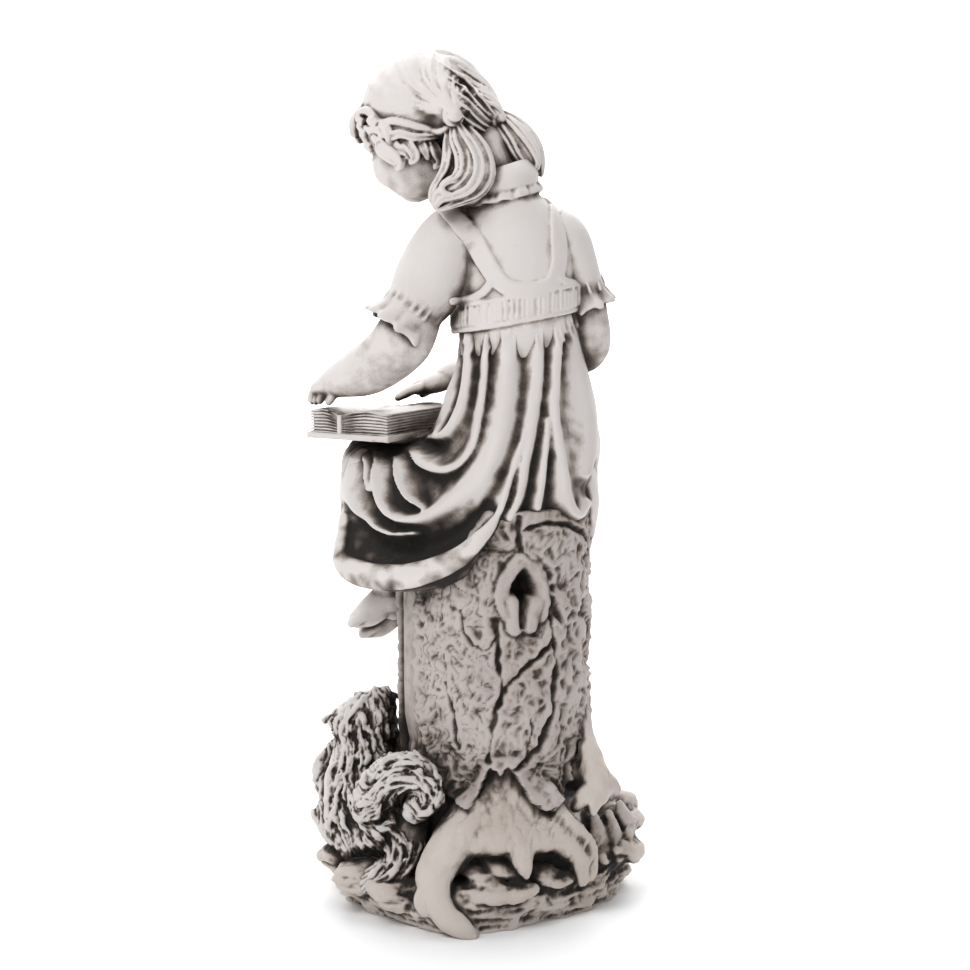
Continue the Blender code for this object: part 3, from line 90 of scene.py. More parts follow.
def to_drawing(points: Array) -> Array:
    """Takes points in metres back to the drawing's units."""
    return points / UNIT - (0, 0, LIFT)


def limited(values: Any) -> Any:
    """Keeps values from 0 to 1."""
    return np.clip(values, 0, 1)


def smooth(points: Any, steps: int = 5) -> Array:
    """Draws a smooth curve through points.

    Args:
        points: the points that the curve passes through.
        steps: how many points to give for each run between two of them.

    Returns:
        The curve's points, the given ones among them.
    """
    p = np.array(points, float)
    if len(p) == 2:
        return p[0] + (p[1] - p[0]) * np.linspace(0, 1, steps + 1)[:, None]
    ends = np.vstack([2 * p[0] - p[1], p, 2 * p[-1] - p[-2]])
    t = (np.arange(steps) / steps)[:, None]
    runs = []
    for i in range(len(p) - 1):
        a, b, c, d = ends[i : i + 4]
        runs.append(
            0.5 * (2 * b + (c - a) * t + (2 * a - 5 * b + 4 * c - d) * t**2 + (3 * b - a - 3 * c + d) * t**3)
        )
    return np.vstack(runs + [p[-1:]])


def unit(v: Any) -> Array:
    """Gives vectors the length 1."""
    v = np.asarray(v, float)
    return v / np.maximum(np.linalg.norm(v, axis=-1, keepdims=True), 1e-9)


# Turns the noise, so that its cells don't line up with the axes
NOISE_TURN = np.array(((0.36, 0.48, -0.8), (-0.8, 0.6, 0.0), (0.48, 0.64, 0.6)))


def noise(points: Any, size: float, seed: int = 0) -> Array:
    """Gives smooth noise from about -1 to 1.

    Args:
        points: where the noise is read.
        size: about how far its lumps reach.
        seed: picks one pattern among many.

    Returns:
        One value for each point.
    """
    p = np.asarray(points, float) @ NOISE_TURN / size + seed * 7.31
    cell = np.floor(p).astype(np.int64)
    f = p - cell
    fade = f**3 * (f * (f * 6 - 15) + 10)
    total = np.zeros(len(p))
    for corner in np.ndindex(2, 2, 2):
        c = cell + corner
        h = (c[:, 0] * 73856093) ^ (c[:, 1] * 19349663) ^ (c[:, 2] * 83492791) ^ (seed * 265443)
        h = ((h ^ (h >> 13)) * 1274126177) & 0xFFFFFFFF
        h = ((h ^ (h >> 15)) * 2246822519) & 0xFFFFFFFF
        slope = np.stack([(h & 0x3FF), (h >> 10) & 0x3FF, (h >> 20) & 0x3FF], 1) / 511.5 - 1
        total += (slope * (f - corner)).sum(1) * np.prod(np.where(corner, fade, 1 - fade), axis=1)
    return np.clip(total * 1.9, -1, 1)


@dataclass
class Form:
    """A closed lump of clay."""

    points: Array
    faces: list[tuple[int, ...]]

    def tree(self) -> BVHTree:
        """Lets rays be cast on this form."""
        return BVHTree.FromPolygons(self.points.tolist(), self.faces)


def joined(forms: Sequence[Form]) -> Form:
    """Puts several forms into one list of points and faces."""
    points: list[Array] = []
    faces: list[tuple[int, ...]] = []
    first = 0
    for form in forms:
        points.append(form.points)
        faces += [tuple(i + first for i in face) for face in form.faces]
        first += len(form.points)
    return Form(np.vstack(points), faces)


def ball(centre: Any, radii: Any, axes: Optional[Array] = None, detail: int = 4) -> Form:
    """Makes an ellipsoid.

    Args:
        centre: its middle.
        radii: one radius, or three along its axes.
        axes: its three unit directions, as rows.
        detail: how often its faces are split.

    Returns:
        The form.
    """
    bm = bmesh.new()
    bmesh.ops.create_icosphere(bm, subdivisions=detail, radius=1.0)
    points = np.array([v.co for v in bm.verts]) * np.broadcast_to(radii, 3)
    faces = [tuple(v.index for v in f.verts) for f in bm.faces]
    bm.free()
    if axes is not None:
        points = points @ np.array(axes, float)
    return Form(points + np.array(centre, float), faces)


def skin(rings: Any) -> Form:
    """Stretches a closed form over rings of as many points each, and fills its ends."""
    rings = np.asarray(rings, float)
    count, around = rings.shape[:2]
    points = np.vstack([rings.reshape(-1, 3), rings[0].mean(0), rings[-1].mean(0)])
    first, last = count * around, count * around + 1
    faces: list[tuple[int, ...]] = []
    for i in range(around):
        j = (i + 1) % around
        faces.append((first, j, i))
        faces.append((last, (count - 1) * around + i, (count - 1) * around + j))
        for k in range(count - 1):
            a, b = k * around, (k + 1) * around
            faces.append((a + i, a + j, b + j, b + i))
    return Form(points, faces)


def rod(
    points: Any,
    radii: Any,
    flat: float = 1.0,
    facing: Any = None,
    sides: int = 12,
    steps: int = 6,
    square: float = 1.0,
) -> Form:
    """Makes a rod with round ends along a smooth curve.

    Args:
        points: the points that its middle passes through.
        radii: its radius at each of them.
        flat: how far it is squeezed along facing.
        facing: one direction, or one for each point.
        sides: how many points go round it.
        steps: how many rings it has between two points.
        square: 1 for a round section, less for a boxy one.

    Returns:
        The form.
    """
    centre = smooth(points, steps)
    radius = np.maximum(smooth(np.array(radii, float)[:, None], steps)[:, 0], 0.02)
    along = unit(np.gradient(centre, axis=0))
    if facing is None:
        out = np.zeros_like(along)
        guide = np.eye(3)[np.argmin(np.abs(along[0]))]
        for i, direction in enumerate(along):
            guide = unit(guide - direction * (guide @ direction))
            out[i] = guide
    else:
        facing = np.asarray(facing, float)
        out = smooth(facing, steps) if facing.ndim == 2 else np.tile(facing, (len(centre), 1))
        out = unit(out - along * (out * along).sum(1, keepdims=True))
    side = np.cross(along, out)
    turn = np.linspace(0, TURN, sides, endpoint=False)
    wide, high = (np.sign(f(turn)) * np.abs(f(turn)) ** square for f in (np.cos, np.sin))
    rings = []
    caps = ((0.35, -0.93), (0.75, -0.66))
    stations = [(0, w, s) for w, s in caps] + [(i, 1.0, 0.0) for i in range(len(centre))]
    stations += [(len(centre) - 1, w, -s) for w, s in reversed(caps)]
    for i, share, shift in stations:
        r = radius[i] * share
        middle = centre[i] + along[i] * shift * radius[i]
        rings.append(middle + np.outer(wide * r, side[i]) + np.outer(high * r * flat, out[i]))
    return skin(rings)


def seen(path: Any, tree: BVHTree, lift: float = 0.0, steps: int = 6) -> tuple[Array, Array]:
    """Lays a path, drawn as the viewer sees it, on a form.

    Args:
        path: x and z of its points over the middle of the statue.
        tree: the form's faces.
        lift: how far over the form it lies.
        steps: how many points to give for each run between two of them.

    Returns:
        The points on the form, and the ways they face.
    """
    spots, ways = [], []
    for x, z in smooth(path, steps):
        direction = unit(np.array((x, 0.0, z)) - VIEWER)
        hit, normal, _, _ = tree.ray_cast(Vector(VIEWER), Vector(direction))
        if hit is None:
            hit, normal, _, _ = tree.find_nearest(Vector((x, 0.0, z)))
        normal = np.array(normal)
        if normal @ direction > 0:
            normal = -normal
        spots.append(np.array(hit) + normal * lift)
        ways.append(normal)
    return np.array(spots), np.array(ways)


def spread(values: Sequence[float], count: int) -> Array:
    """Spreads a few values evenly over a count of places."""
    return np.interp(np.linspace(0, 1, count), np.linspace(0, 1, len(values)), values)


def ridge(
    path: Any,
    radii: Sequence[float],
    tree: BVHTree,
    flat: float = 0.8,
    lift: float = 0.0,
    steps: int = 6,
    sides: int = 10,
    square: float = 1.0,
) -> Form:
    """Makes a rod that lies on a form along a path drawn as the viewer sees it."""
    spots, ways = seen(path, tree, lift, steps)
    return rod(spots, spread(radii, len(spots)), flat, ways, sides, 1, square)


def combed(points: Any, radii: Any, facing: Any, count: int, share: float, seed: int = 1) -> list[Form]:
    """Lays thin strands along the outside of a lock.

    Args:
        points: the lock's points.
        radii: its radius at each of them.
        facing: the way its visible side looks.
        count: how many strands there are.
        share: a strand's radius as a share of the lock's.
        seed: picks how the strands wander.

    Returns:
        The strands.
    """
    pick = random.Random(seed)
    line, radii = smooth(points, 3), smooth(np.array(radii, float)[:, None], 3)[:, 0]
    along = unit(np.gradient(line, axis=0))
    across = unit(np.cross(along, np.asarray(facing, float)))
    out = unit(np.cross(across, along))
    out = np.where((out @ np.asarray(facing, float))[:, None] > 0, out, -out)
    forms = []
    for i in range(count):
        turn = math.radians(-105 + 210 * i / max(count - 1, 1) + pick.uniform(-6, 6))
        twist = np.linspace(turn, turn + pick.uniform(-0.25, 0.25), len(line))[:, None]
        way = across * np.sin(twist) + out * np.cos(twist)
        strand = line + way * radii[:, None] * 0.92
        forms.append(rod(strand, radii * share, 1.0, None, 6, 1))
    return forms


def share_of_width(spots: Array, line: Any, widths: Any) -> Array:
    """Measures how far each spot is from a line of straight runs, as a share of the line's width there."""
    nearest = np.full(len(spots), 1e9)
    for a, b, wide, next_wide in zip(line[:-1], line[1:], widths[:-1], widths[1:]):
        run = b - a
        t = limited(((spots - a) @ run) / (run @ run))
        away = np.linalg.norm(spots - a - t[:, None] * run, axis=1)
        nearest = np.minimum(nearest, away / (wide + (next_wide - wide) * t))
    return nearest


def distance_to_line(spots: Array, line: Any) -> Array:
    """Measures how far each spot is from a line of straight runs in the plane."""
    nearest = np.full(len(spots), 1e9)
    line = np.asarray(line, float)
    for a, b in zip(line[:-1], line[1:]):
        run = b - a
        t = limited(((spots - a) @ run) / (run @ run))
        nearest = np.minimum(nearest, np.linalg.norm(spots - a - t[:, None] * run, axis=1))
    return nearest


def in_view(points: Array) -> Array:
    """Tells where the viewer sees points, as x and z over the middle of the statue."""
    nearer = VIEWER[1] / (VIEWER[1] - points[:, 1])
    return np.stack([points[:, 0] * nearer, VIEWER[2] + (points[:, 2] - VIEWER[2]) * nearer], 1)


def vertices(mesh: bpy.types.Mesh) -> Array:
    """Reads a mesh's points."""
    flat = np.empty(len(mesh.vertices) * 3, np.float32)
    mesh.vertices.foreach_get("co", flat)
    return flat.reshape(-1, 3).astype(float)


def normals(mesh: bpy.types.Mesh) -> Array:
    """Reads the way each point of a mesh faces."""
    flat = np.empty(len(mesh.vertices) * 3, np.float32)
    mesh.vertex_normals.foreach_get("vector", flat)
    return flat.reshape(-1, 3).astype(float)


def set_vertices(mesh: bpy.types.Mesh, points: Array) -> None:
    """Moves a mesh's points."""
    mesh.vertices.foreach_set("co", points.astype(np.float32).ravel())
    mesh.update()


def make_active(made: bpy.types.Object) -> None:
    """Selects one object alone, for the operators that act on it."""
    bpy.ops.object.select_all(action="DESELECT")
    made.select_set(True)
    bpy.context.view_layer.objects.active = made


def finish_with(made: bpy.types.Object, kind: str, **settings: Any) -> None:
    """Adds a modifier, sets it and applies it."""
    make_active(made)
    bpy.ops.object.modifier_add(type=kind)
    modifier = made.modifiers[-1]
    for key, value in settings.items():
        setattr(modifier, key, value)
    bpy.ops.object.modifier_apply(modifier=modifier.name)


def largest_body(mesh: bpy.types.Mesh) -> None:
    """Removes loose crumbs from a mesh, so that one body is left."""
    count = len(mesh.vertices)
    pairs = np.empty(len(mesh.edges) * 2, np.int32)
    mesh.edges.foreach_get("vertices", pairs)
    a, b = pairs.reshape(-1, 2).T
    label = np.arange(count)
    while True:
        low = np.minimum(label[a], label[b])
        fresh = label.copy()
        np.minimum.at(fresh, a, low)
        np.minimum.at(fresh, b, low)
        fresh = fresh[fresh]
        if np.array_equal(fresh, label):
            break
        label = fresh
    names, sizes = np.unique(label, return_counts=True)
    if len(names) == 1:
        return
    crumbs = np.nonzero(label != names[np.argmax(sizes)])[0]
    bm = bmesh.new()
    bm.from_mesh(mesh)
    bm.verts.ensure_lookup_table()
    bmesh.ops.delete(bm, geom=[bm.verts[i] for i in crumbs], context="VERTS")
    bm.to_mesh(mesh)
    bm.free()


def linked(name: str, data: Any) -> bpy.types.Object:
    """Adds an object with its data to the scene."""
    made = bpy.data.objects.new(name, data)
    bpy.context.scene.collection.objects.link(made)
    return made


def cast(name: str, form: Form) -> bpy.types.Object:
    """Makes an object of a form as it is drawn."""
    mesh = bpy.data.meshes.new(name)
    mesh.from_pydata(to_metres(form.points).tolist(), [], form.faces)
    return linked(name, mesh)


def shade_smooth(made: bpy.types.Object) -> None:
    """Shades a piece as one soft skin."""
    make_active(made)
    bpy.ops.object.shade_smooth()


def merged(name: str, forms: Sequence[Form], grain: float, passes: int) -> bpy.types.Object:
    """Merges forms into one smooth skin.

    Args:
        name: the object's name.
        forms: overlapping closed forms in the drawing's units.
        grain: the side of a voxel in metres.
        passes: how often the skin is smoothed.

    Returns:
        The object, in metres and raised to the base's thickness.
    """
    made = cast(name, joined(forms))
    finish_with(made, "REMESH", mode="VOXEL", voxel_size=grain)
    if passes:
        finish_with(made, "SMOOTH", factor=0.5, iterations=passes)
    return made


def thin_out(made: bpy.types.Object, most: int) -> None:
    """Takes triangles away where a piece is smoothest, until no more than most are left."""
    made.data.calc_loop_triangles()
    count = len(made.data.loop_triangles)
    if count > most:
        finish_with(made, "DECIMATE", ratio=most / count)


def melted(forms: Sequence[Form], grain: float, passes: int) -> Form:
    """Melts forms into one another, so that others can be laid on them."""
    made = merged("clay", forms, grain, passes)
    points = to_drawing(vertices(made.data))
    faces = [tuple(polygon.vertices) for polygon in made.data.polygons]
    bpy.data.objects.remove(made)
    return Form(points, faces)


class Surface(Enum):
    """How a piece was left by its maker."""

    SKIN = "skin"
    CLOTH = "cloth"
    HAIR = "hair"
    FUR = "fur"
    BARK = "bark"
    GROUND = "ground"
    PAPER = "paper"


@dataclass
class Carving:
    """A piece of the casting, carved from overlapping forms.

    Its grain is the side of a voxel in metres, passes is how often it is smoothed, and most is how many
    triangles it may have.
    """

    name: str = "carving"
    grain: float = 0.0015
    passes: int = 3
    most: int = 30000
    surface: Surface = Surface.CLOTH

    def forms(self) -> list[Form]:
        """Lays the forms that the piece is merged from."""
        raise NotImplementedError

    def relief(self, points: Array, ways: Array) -> Array:
        """Gives how far each point is moved out, in units."""
        return 0.025 * noise(points, 1.3, 61)

    def shade_and_stains(self, points: Array, ways: Array) -> Array:
        """Gives the darkening that a point holds beside the wash in its hollow: uneven stains at random, and
        painted shade on faces that look down.
        """
        uneven = 0.07 * noise(points, 2.6, 66) + 0.06 * noise(points, 1.0, 67)
        # Painted shade on faces that look down, as under the piece; the noise is uneven tone at random
        return 0.2 * limited(0.1 - ways[:, 2]) + uneven

    def build(self) -> bpy.types.Object:
        """Merges the forms into one mesh at the origin.

        Returns:
            The piece, without its finish.
        """
        made = merged(self.name, self.forms(), self.grain, self.passes)
        largest_body(made.data)
        points, ways = vertices(made.data), normals(made.data)
        relief = self.relief(to_drawing(points), ways)
        set_vertices(made.data, points + ways * relief[:, None] * UNIT)
        self.trim(made)
        thin_out(made, self.most)
        shade_smooth(made)
        return made

    def trim(self, made: bpy.types.Object) -> None:
        """Cuts the piece where it must end."""


# Base and roots

# The ground's edge: an angle in degrees from the viewer's side, and how far it reaches
BASE_OUTLINE = (
    (-8, 14.2), (16, 12.4), (42, 11.6), (68, 12.6), (96, 14.4), (120, 14.6), (150, 13.4),
    (180, 12.6), (215, 13.4), (250, 14.8), (272, 15.3), (296, 13.6), (323, 13.6), (340, 14.4),
)

# The broad wood that the front roots part from: height, middle in X and Y, half width, half depth
ROOT_MASS = (
    (16.0, 2.1, -6.5, 2.4, 2.3), (13.5, 2.2, -6.9, 3.2, 2.7), (11.8, 2.4, -7.4, 4.0, 3.0),
    (10.0, 2.2, -8.1, 5.0, 3.2), (8.6, 2.0, -9.0, 6.0, 3.0), (7.6, 1.9, -9.7, 6.6, 2.4),
    (6.9, 1.8, -10.0, 6.0, 1.3),
)

# Each root's path and its radius along it: first the front ones, then the toes, then the far ones
ROOTS = (
    (((0.5, -7.5, 11.5), (-1.4, -9.4, 10.0), (-3.4, -11.2, 7.6), (-4.7, -12.3, 5.3), (-4.5, -13.2, 3.4),
      (-3.6, -13.8, 1.9), (-2.3, -14.1, 0.9), (-1.5, -14.1, 0.3)),
     (2.6, 2.3, 2.1, 1.85, 1.55, 1.3, 1.1, 0.9)),
    (((-4.9, -12.8, 4.4), (-5.9, -13.3, 3.2), (-5.6, -13.6, 2.3)), (1.2, 0.85, 0.6)),
    (((2.4, -8.8, 9.6), (3.1, -10.6, 7.6), (3.6, -11.6, 6.1), (3.8, -12.0, 5.2)), (2.0, 1.6, 1.0, 0.5)),
    (((4.6, -8.0, 10.0), (6.6, -9.2, 8.2), (8.6, -9.2, 6.4), (9.1, -8.8, 4.8), (9.2, -8.6, 3.6)),
     (1.9, 1.3, 0.95, 0.8, 0.7)),
    (((5.2, -7.6, 12.6), (7.0, -8.6, 10.4), (8.4, -8.8, 8.8), (9.9, -8.2, 6.8), (10.0, -8.0, 4.0)),
     (0.9, 0.8, 0.8, 0.75, 0.7)),
    (((9.6, -3.4, 18.7), (9.9, -4.8, 15.7), (10.3, -6.0, 13.4), (10.7, -6.8, 11.8)), (0.6, 1.1, 1.65, 1.4)),
    (((10.4, -6.6, 12.3), (9.4, -7.6, 11.5), (8.6, -7.9, 10.6)), (1.1, 0.95, 0.6)),
    (((10.6, -6.8, 12.1), (10.4, -7.8, 11.1), (10.2, -8.0, 10.2)), (1.1, 0.85, 0.5)),
    (((11.0, -5.8, 12.8), (11.9, -6.2, 12.2), (12.5, -6.2, 11.8)), (1.2, 0.95, 0.5)),
    (((10.4, -1.6, 15.7), (12.1, -1.2, 13.0), (14.0, -0.6, 11.5)), (1.0, 1.3, 0.8)),
    (((8.5, 4.5, 12.0), (10.8, 6.4, 8.0), (12.0, 7.6, 4.6), (12.4, 8.0, 2.4)), (2.4, 1.9, 1.4, 0.9)),
    (((3.0, 8.6, 13.0), (4.0, 10.4, 8.0), (3.4, 11.6, 4.6), (3.6, 12.0, 2.4)), (2.6, 2.1, 1.5, 0.9)),
    (((-3.0, 8.0, 13.0), (-4.6, 9.8, 8.4), (-7.2, 10.6, 5.2), (-8.4, 10.6, 3.0)), (2.5, 2.0, 1.5, 0.9)),
    (((-7.0, 3.0, 12.0), (-9.0, 3.8, 8.0), (-11.4, 5.4, 5.0), (-12.6, 6.2, 3.0)), (2.3, 1.9, 1.4, 0.9)),
    (((-5.8, -4.0, 13.0), (-6.8, -6.2, 9.0), (-7.0, -7.6, 5.6)), (2.2, 2.0, 1.6)),
)
FRONT_ROOTS = 5
FAR_ROOTS = 10
# The cone of wood that the bark stands on, and the link that holds the toes to the stump
FOOT = ((1.0, 0.2, 16.0), (1.0, 0.2, 9.0), (1.0, 0.2, 4.0))
FOOT_RADII = (8.2, 8.9, 9.9)
TOE_LINK = ((6.5, -3.5, 13.4), (10.0, -5.4, 12.8))
# Flat wood between the front roots
APRON = (
    (((-0.6, -8.6, 11.0), (-2.4, -10.2, 8.6), (-3.2, -11.4, 6.6)), (1.8, 2.2, 1.6)),
    (((3.2, -8.6, 10.6), (4.6, -9.4, 8.6), (5.6, -9.6, 7.8)), (1.8, 1.4, 1.0)),
    (((0.6, -9.6, 9.6), (2.4, -10.2, 8.2), (4.8, -9.8, 8.0)), (1.8, 1.6, 1.4)),
)
# Stones: middle, radius and the seed of their lumps
STONES = (
    (-11.5, -6.6, 3.4, 2.6, 1), (-8.2, -9.4, 3.0, 2.6, 2), (-13.8, -2.0, 4.0, 2.2, 3),
    (-5.6, -9.6, 3.2, 2.2, 4), (13.0, 0.4, 7.0, 2.2, 7), (13.4, -1.6, 4.6, 2.1, 8),
    (12.4, 2.6, 7.6, 2.4, 9), (8.6, 8.6, 4.6, 3.0, 10), (2.0, 10.4, 4.6, 2.6, 11),
    (-5.2, 10.2, 4.6, 3.0, 12), (-11.4, 7.4, 4.6, 2.8, 13), (-13.6, 3.0, 4.4, 2.2, 14),
    (-8.6, -1.6, 4.6, 3.4, 15), (9.4, 1.2, 6.4, 3.6, 16), (-8.8, 4.2, 4.8, 3.4, 17),
)
# Flat stones in front: path, radii and how far they are squeezed
SLABS = (
    (((-2.4, -10.0, 6.2), (-0.6, -11.2, 5.2), (1.4, -11.8, 4.2)), (0.9, 1.5, 0.7), 0.45),
    (((-0.4, -9.6, 7.0), (1.6, -10.6, 5.8), (3.6, -11.2, 4.6)), (0.9, 1.5, 0.7), 0.45),
    (((4.4, -9.4, 4.8), (6.0, -9.6, 4.2), (7.6, -9.0, 4.0)), (1.0, 1.4, 0.8), 0.6),
    (((-2.6, -12.4, 3.8), (1.0, -12.8, 3.6), (4.6, -11.6, 3.8)), (0.8, 1.2, 0.7), 0.5),
)
SLAB_WAY = (0.3, -0.5, 0.8)
# Leaves on the right: place, foot, top and radius
LEAVES = ((11.2, -3.4, 3.8, 8.0, 0.9), (12.6, -2.8, 4.4, 8.4, 0.7), (13.8, -1.2, 5.6, 8.8, 0.8))


@dataclass
class RockyBase(Carving):
    """The ground under the stump, with its stones and the roots that grip it."""

    name: str = "rocky_base_and_roots"
    most: int = 130000
    grain: float = 0.0017
    passes: int = 3
    surface: Surface = Surface.GROUND
    width: float = BASE_WIDTH
    depth: float = BASE_DEPTH
    thickness: float = BASE_THICKNESS
    melt_grain: float = 0.002
    broad_passes: int = 12
    toe_passes: int = 5

    def slab(self) -> Form:
        """Makes the low slab of rough ground."""
        turns, radii = np.array(BASE_OUTLINE).T
        turns, radii = np.concatenate([turns - 360, turns, turns + 360]), np.tile(radii, 3)
        angle = np.linspace(0, 360, 240, endpoint=False)
        far = sum(np.interp(angle + shift, turns, radii) for shift in (-9, 0, 9)) / 3
        wide, deep = self.width / UNIT / 30.5, self.depth / UNIT / 28.5
        turn = np.radians(angle)
        rings = []
        for height, share in ((-0.5, 0.93), (0.0, 0.94), (0.2, 0.97), (0.35, 0.985), (0.55, 0.98),
                              (0.7, 0.97), (0.85, 0.93), (0.92, 0.9), (1.0, 0.78), (1.06, 0.45)):
            ring = np.stack(
                [np.sin(turn) * far * share * wide, -np.cos(turn) * far * share * deep,
                 turn * 0 + self.thickness / UNIT * height], 1
            )
            lump = 0.55 * noise(ring, 2.6, 3) + 0.3 * noise(ring, 1.2, 5)
            ring[:, :2] *= (1 + lump / 14)[:, None]
            if 0 < height < 1.05:
                ring[:, 2] += 0.35 * noise(ring, 3.0, 8)
            rings.append(ring)
        return skin(rings)

    def stones(self) -> list[Form]:
        """Makes the stones, the slabs under the roots and the leaves on the right."""
        forms = []
        for x, y, z, r, seed in STONES:
            stone = ball((x, y, z), (r * 1.15, r, r * 0.72))
            away = unit(stone.points - np.array((x, y, z)))
            stone.points += away * (0.22 * r * noise(stone.points, r * 0.9, seed))[:, None]
            forms.append(stone)
        forms += [rod(points, radii, flat, SLAB_WAY, 16) for points, radii, flat in SLABS]
        for x, y, foot, top, r in LEAVES:
            leaf = ((x + 0.3, y - 0.6, foot), (x, y - 0.2, (foot + top) / 2), (x - 0.5, y + 0.5, top))
            forms.append(rod(leaf, (r * 0.8, r * 1.25, r * 0.6), 0.5, (0.4, -1, 0)))
            forms.append(ball((x + 0.1, y - 0.9, foot + 0.6), r * 0.8))
            forms.append(rod(((x - 1.6, y + 1.2, foot), (x, y, foot + 0.4)), (1.2, 1.0)))
        return forms

    def mass(self) -> Form:
        """Makes the broad wood under the bark that the roots in front part from."""
        turn = np.linspace(0, TURN, 80, endpoint=False)
        rings = []
        for z, x, y, wide, deep in smooth(ROOT_MASS, 8):
            across = np.sin(turn) * wide
            rings.append(np.stack([x + across, y - np.cos(turn) * deep + across * 0.2, turn * 0 + z], 1))
        return skin(rings)

    def wood(self) -> Form:
        """Melts the wood's mass and the roots into one form."""
        roots = [rod(points, radii, 0.85, sides=18, steps=10) for points, radii in ROOTS]
        broad = [self.mass(), rod(FOOT, FOOT_RADII, sides=64)] + roots[:FRONT_ROOTS] + roots[FAR_ROOTS:]
        broad += [rod(points, radii, 0.6, (0, -1, 0.3), 18) for points, radii in APRON]
        toes = roots[FRONT_ROOTS:FAR_ROOTS] + [rod(TOE_LINK, (2.0, 1.5))]
        return joined([melted(broad, self.melt_grain, self.broad_passes),
                       melted(toes, self.melt_grain, self.toe_passes)])

    def forms(self) -> list[Form]:
        """Lays the slab, the stones and the roots."""
        return [self.wood(), self.slab()] + self.stones()

    def relief(self, points: Array, ways: Array) -> Array:
        """Roughens the ground and runs a grain along the roots."""
        ground = limited((6.0 - points[:, 2]) / 2.0)
        for line, radii in ROOTS:
            line = smooth(line, 4)
            for spot, size in zip(line, spread(radii, len(line))):
                away = np.linalg.norm(points - spot, axis=1) / size
                ground = np.minimum(ground, limited((away - 1.25) / 0.3))
        rough = 0.16 * noise(points, 1.6, 71) + 0.09 * noise(points, 0.7, 72) + 0.05 * noise(points, 0.35, 73)
        layers = 0.22 * noise(points * (0.16, 0.16, 1.0), 0.5, 74)
        lean = points[:, 0] + 0.55 * np.abs(points[:, 0] - 1.0) * limited((11 - points[:, 2]) / 6)
        along = np.stack([lean, points[:, 1], points[:, 2] * 0.22], 1)
        grain = 0.13 * np.abs(noise(along, 1.0, 75)) + 0.06 * np.abs(noise(along, 0.45, 77))
        grain += 0.12 * noise(points, 2.0, 76)
        return ground * (rough + layers) + (1 - ground) * grain

    def shade_and_stains(self, points: Array, ways: Array) -> Array:
        """Adds painted shade in the hollow on the right and, through the shade on faces that look down, under
        the roots; its streaks are stains at random.
        """
        # Painted shade in the hollow on the right
        right = limited((points[:, 0] - 9.5) / 2) * limited((10 - points[:, 2]) / 3)
        stains = 0.1 * noise(points * (1, 1, 0.45), 1.4, 79)
        return super().shade_and_stains(points, ways) + 0.14 * right + stains

    def trim(self, made: bpy.types.Object) -> None:
        """Cuts the base flat at the ground."""
        make_active(made)
        bpy.ops.object.mode_set(mode="EDIT")
        bpy.ops.mesh.select_all(action="SELECT")
        bpy.ops.mesh.bisect(plane_co=(0, 0, 0), plane_no=(0, 0, 1), use_fill=True, clear_inner=True)
        bpy.ops.object.mode_set(mode="OBJECT")


# Stump

# The cracks in the bark as the viewer sees them: half a crack's width, and its path
CRACKS = (
    (0.24, ((3.1, 37.3), (3.2, 34.5), (4.3, 33.0), (5.6, 31.4), (6.1, 29.1), (6.8, 27.1))),
    (0.2, ((1.0, 27.1), (1.3, 22.5), (1.7, 20.5), (1.1, 18.1), (0.7, 15.8), (0.5, 13.1))),
    (0.15, ((5.9, 28.4), (5.9, 25.4), (4.5, 23.1), (2.6, 21.4), (1.8, 20.1))),
    (0.18, ((6.1, 25.4), (6.4, 22.5), (6.2, 19.1), (5.4, 15.8), (4.3, 13.8), (2.7, 12.2))),
    (0.14, ((-2.0, 28.4), (-1.7, 25.8), (-0.2, 24.2), (0.9, 25.2))),
    (0.2, ((8.6, 29.1), (9.0, 26.4), (9.2, 22.5), (9.8, 19.1), (10.1, 17.1))),
    (0.13, ((3.6, 36.0), (5.2, 36.7), (7.8, 36.4), (9.1, 35.0), (8.8, 32.4))),
    (0.12, ((3.8, 18.1), (4.2, 15.8), (3.8, 13.4))),
    (0.1, ((-6.3, 27.1), (-6.6, 23.8), (-6.2, 20.5), (-5.7, 17.4))),
    (0.1, ((-3.4, 21.1), (-2.8, 17.8), (-2.3, 14.4))),
)
# The bark's edge as the viewer sees it, down its left side to the tip and then along its lower side
BARK_EDGE = (
    (-6.6, 38.9), (-6.3, 29.1), (-6.3, 24.1), (-6.2, 19.1), (-5.6, 14.8), (-4.8, 12.4), (-3.9, 10.4),
    (-2.8, 8.8), (-1.7, 8.2), (-0.8, 9.2), (-0.2, 10.8), (0.5, 12.3), (1.0, 12.0), (1.5, 11.4), (2.1, 12.4),
    (2.7, 12.2), (3.6, 10.4), (4.4, 8.8), (5.8, 7.9), (7.0, 8.3), (7.8, 9.4), (8.8, 11.7), (9.2, 15.1),
    (10.0, 18.1), (12.3, 19.1),
)
BARK_TIP = 8
# The knot's upper ring, its two lips, the gap between them and the line that the bark keeps clear of
KNOT_RING = (
    (2.3, 27.6), (1.75, 29.0), (1.8, 30.6), (2.6, 32.1), (3.6, 33.2), (4.6, 32.2), (5.35, 30.6), (5.4, 29.0),
    (4.9, 27.6),
)
KNOT_LIPS = (((2.45, 29.0), (2.5, 27.9), (2.75, 26.4)), ((4.75, 28.9), (4.5, 27.9), (4.0, 26.6)))
KNOT_GAP = ((3.5, 28.8), (3.4, 26.6))
KNOT_AXIS = ((3.55, 31.4), (3.5, 27.6))
# The skirt's hem over the stump as the viewer sees it: X, and the height of its lower edge
HEM_ACROSS = (-14, -2.6, -0.3, 1.5, 4.0, 8.4, 10.9)
HEM_HEIGHT = (31.0, 33.4, 36.4, 39.0, 40.2, 40.6, 41.0)


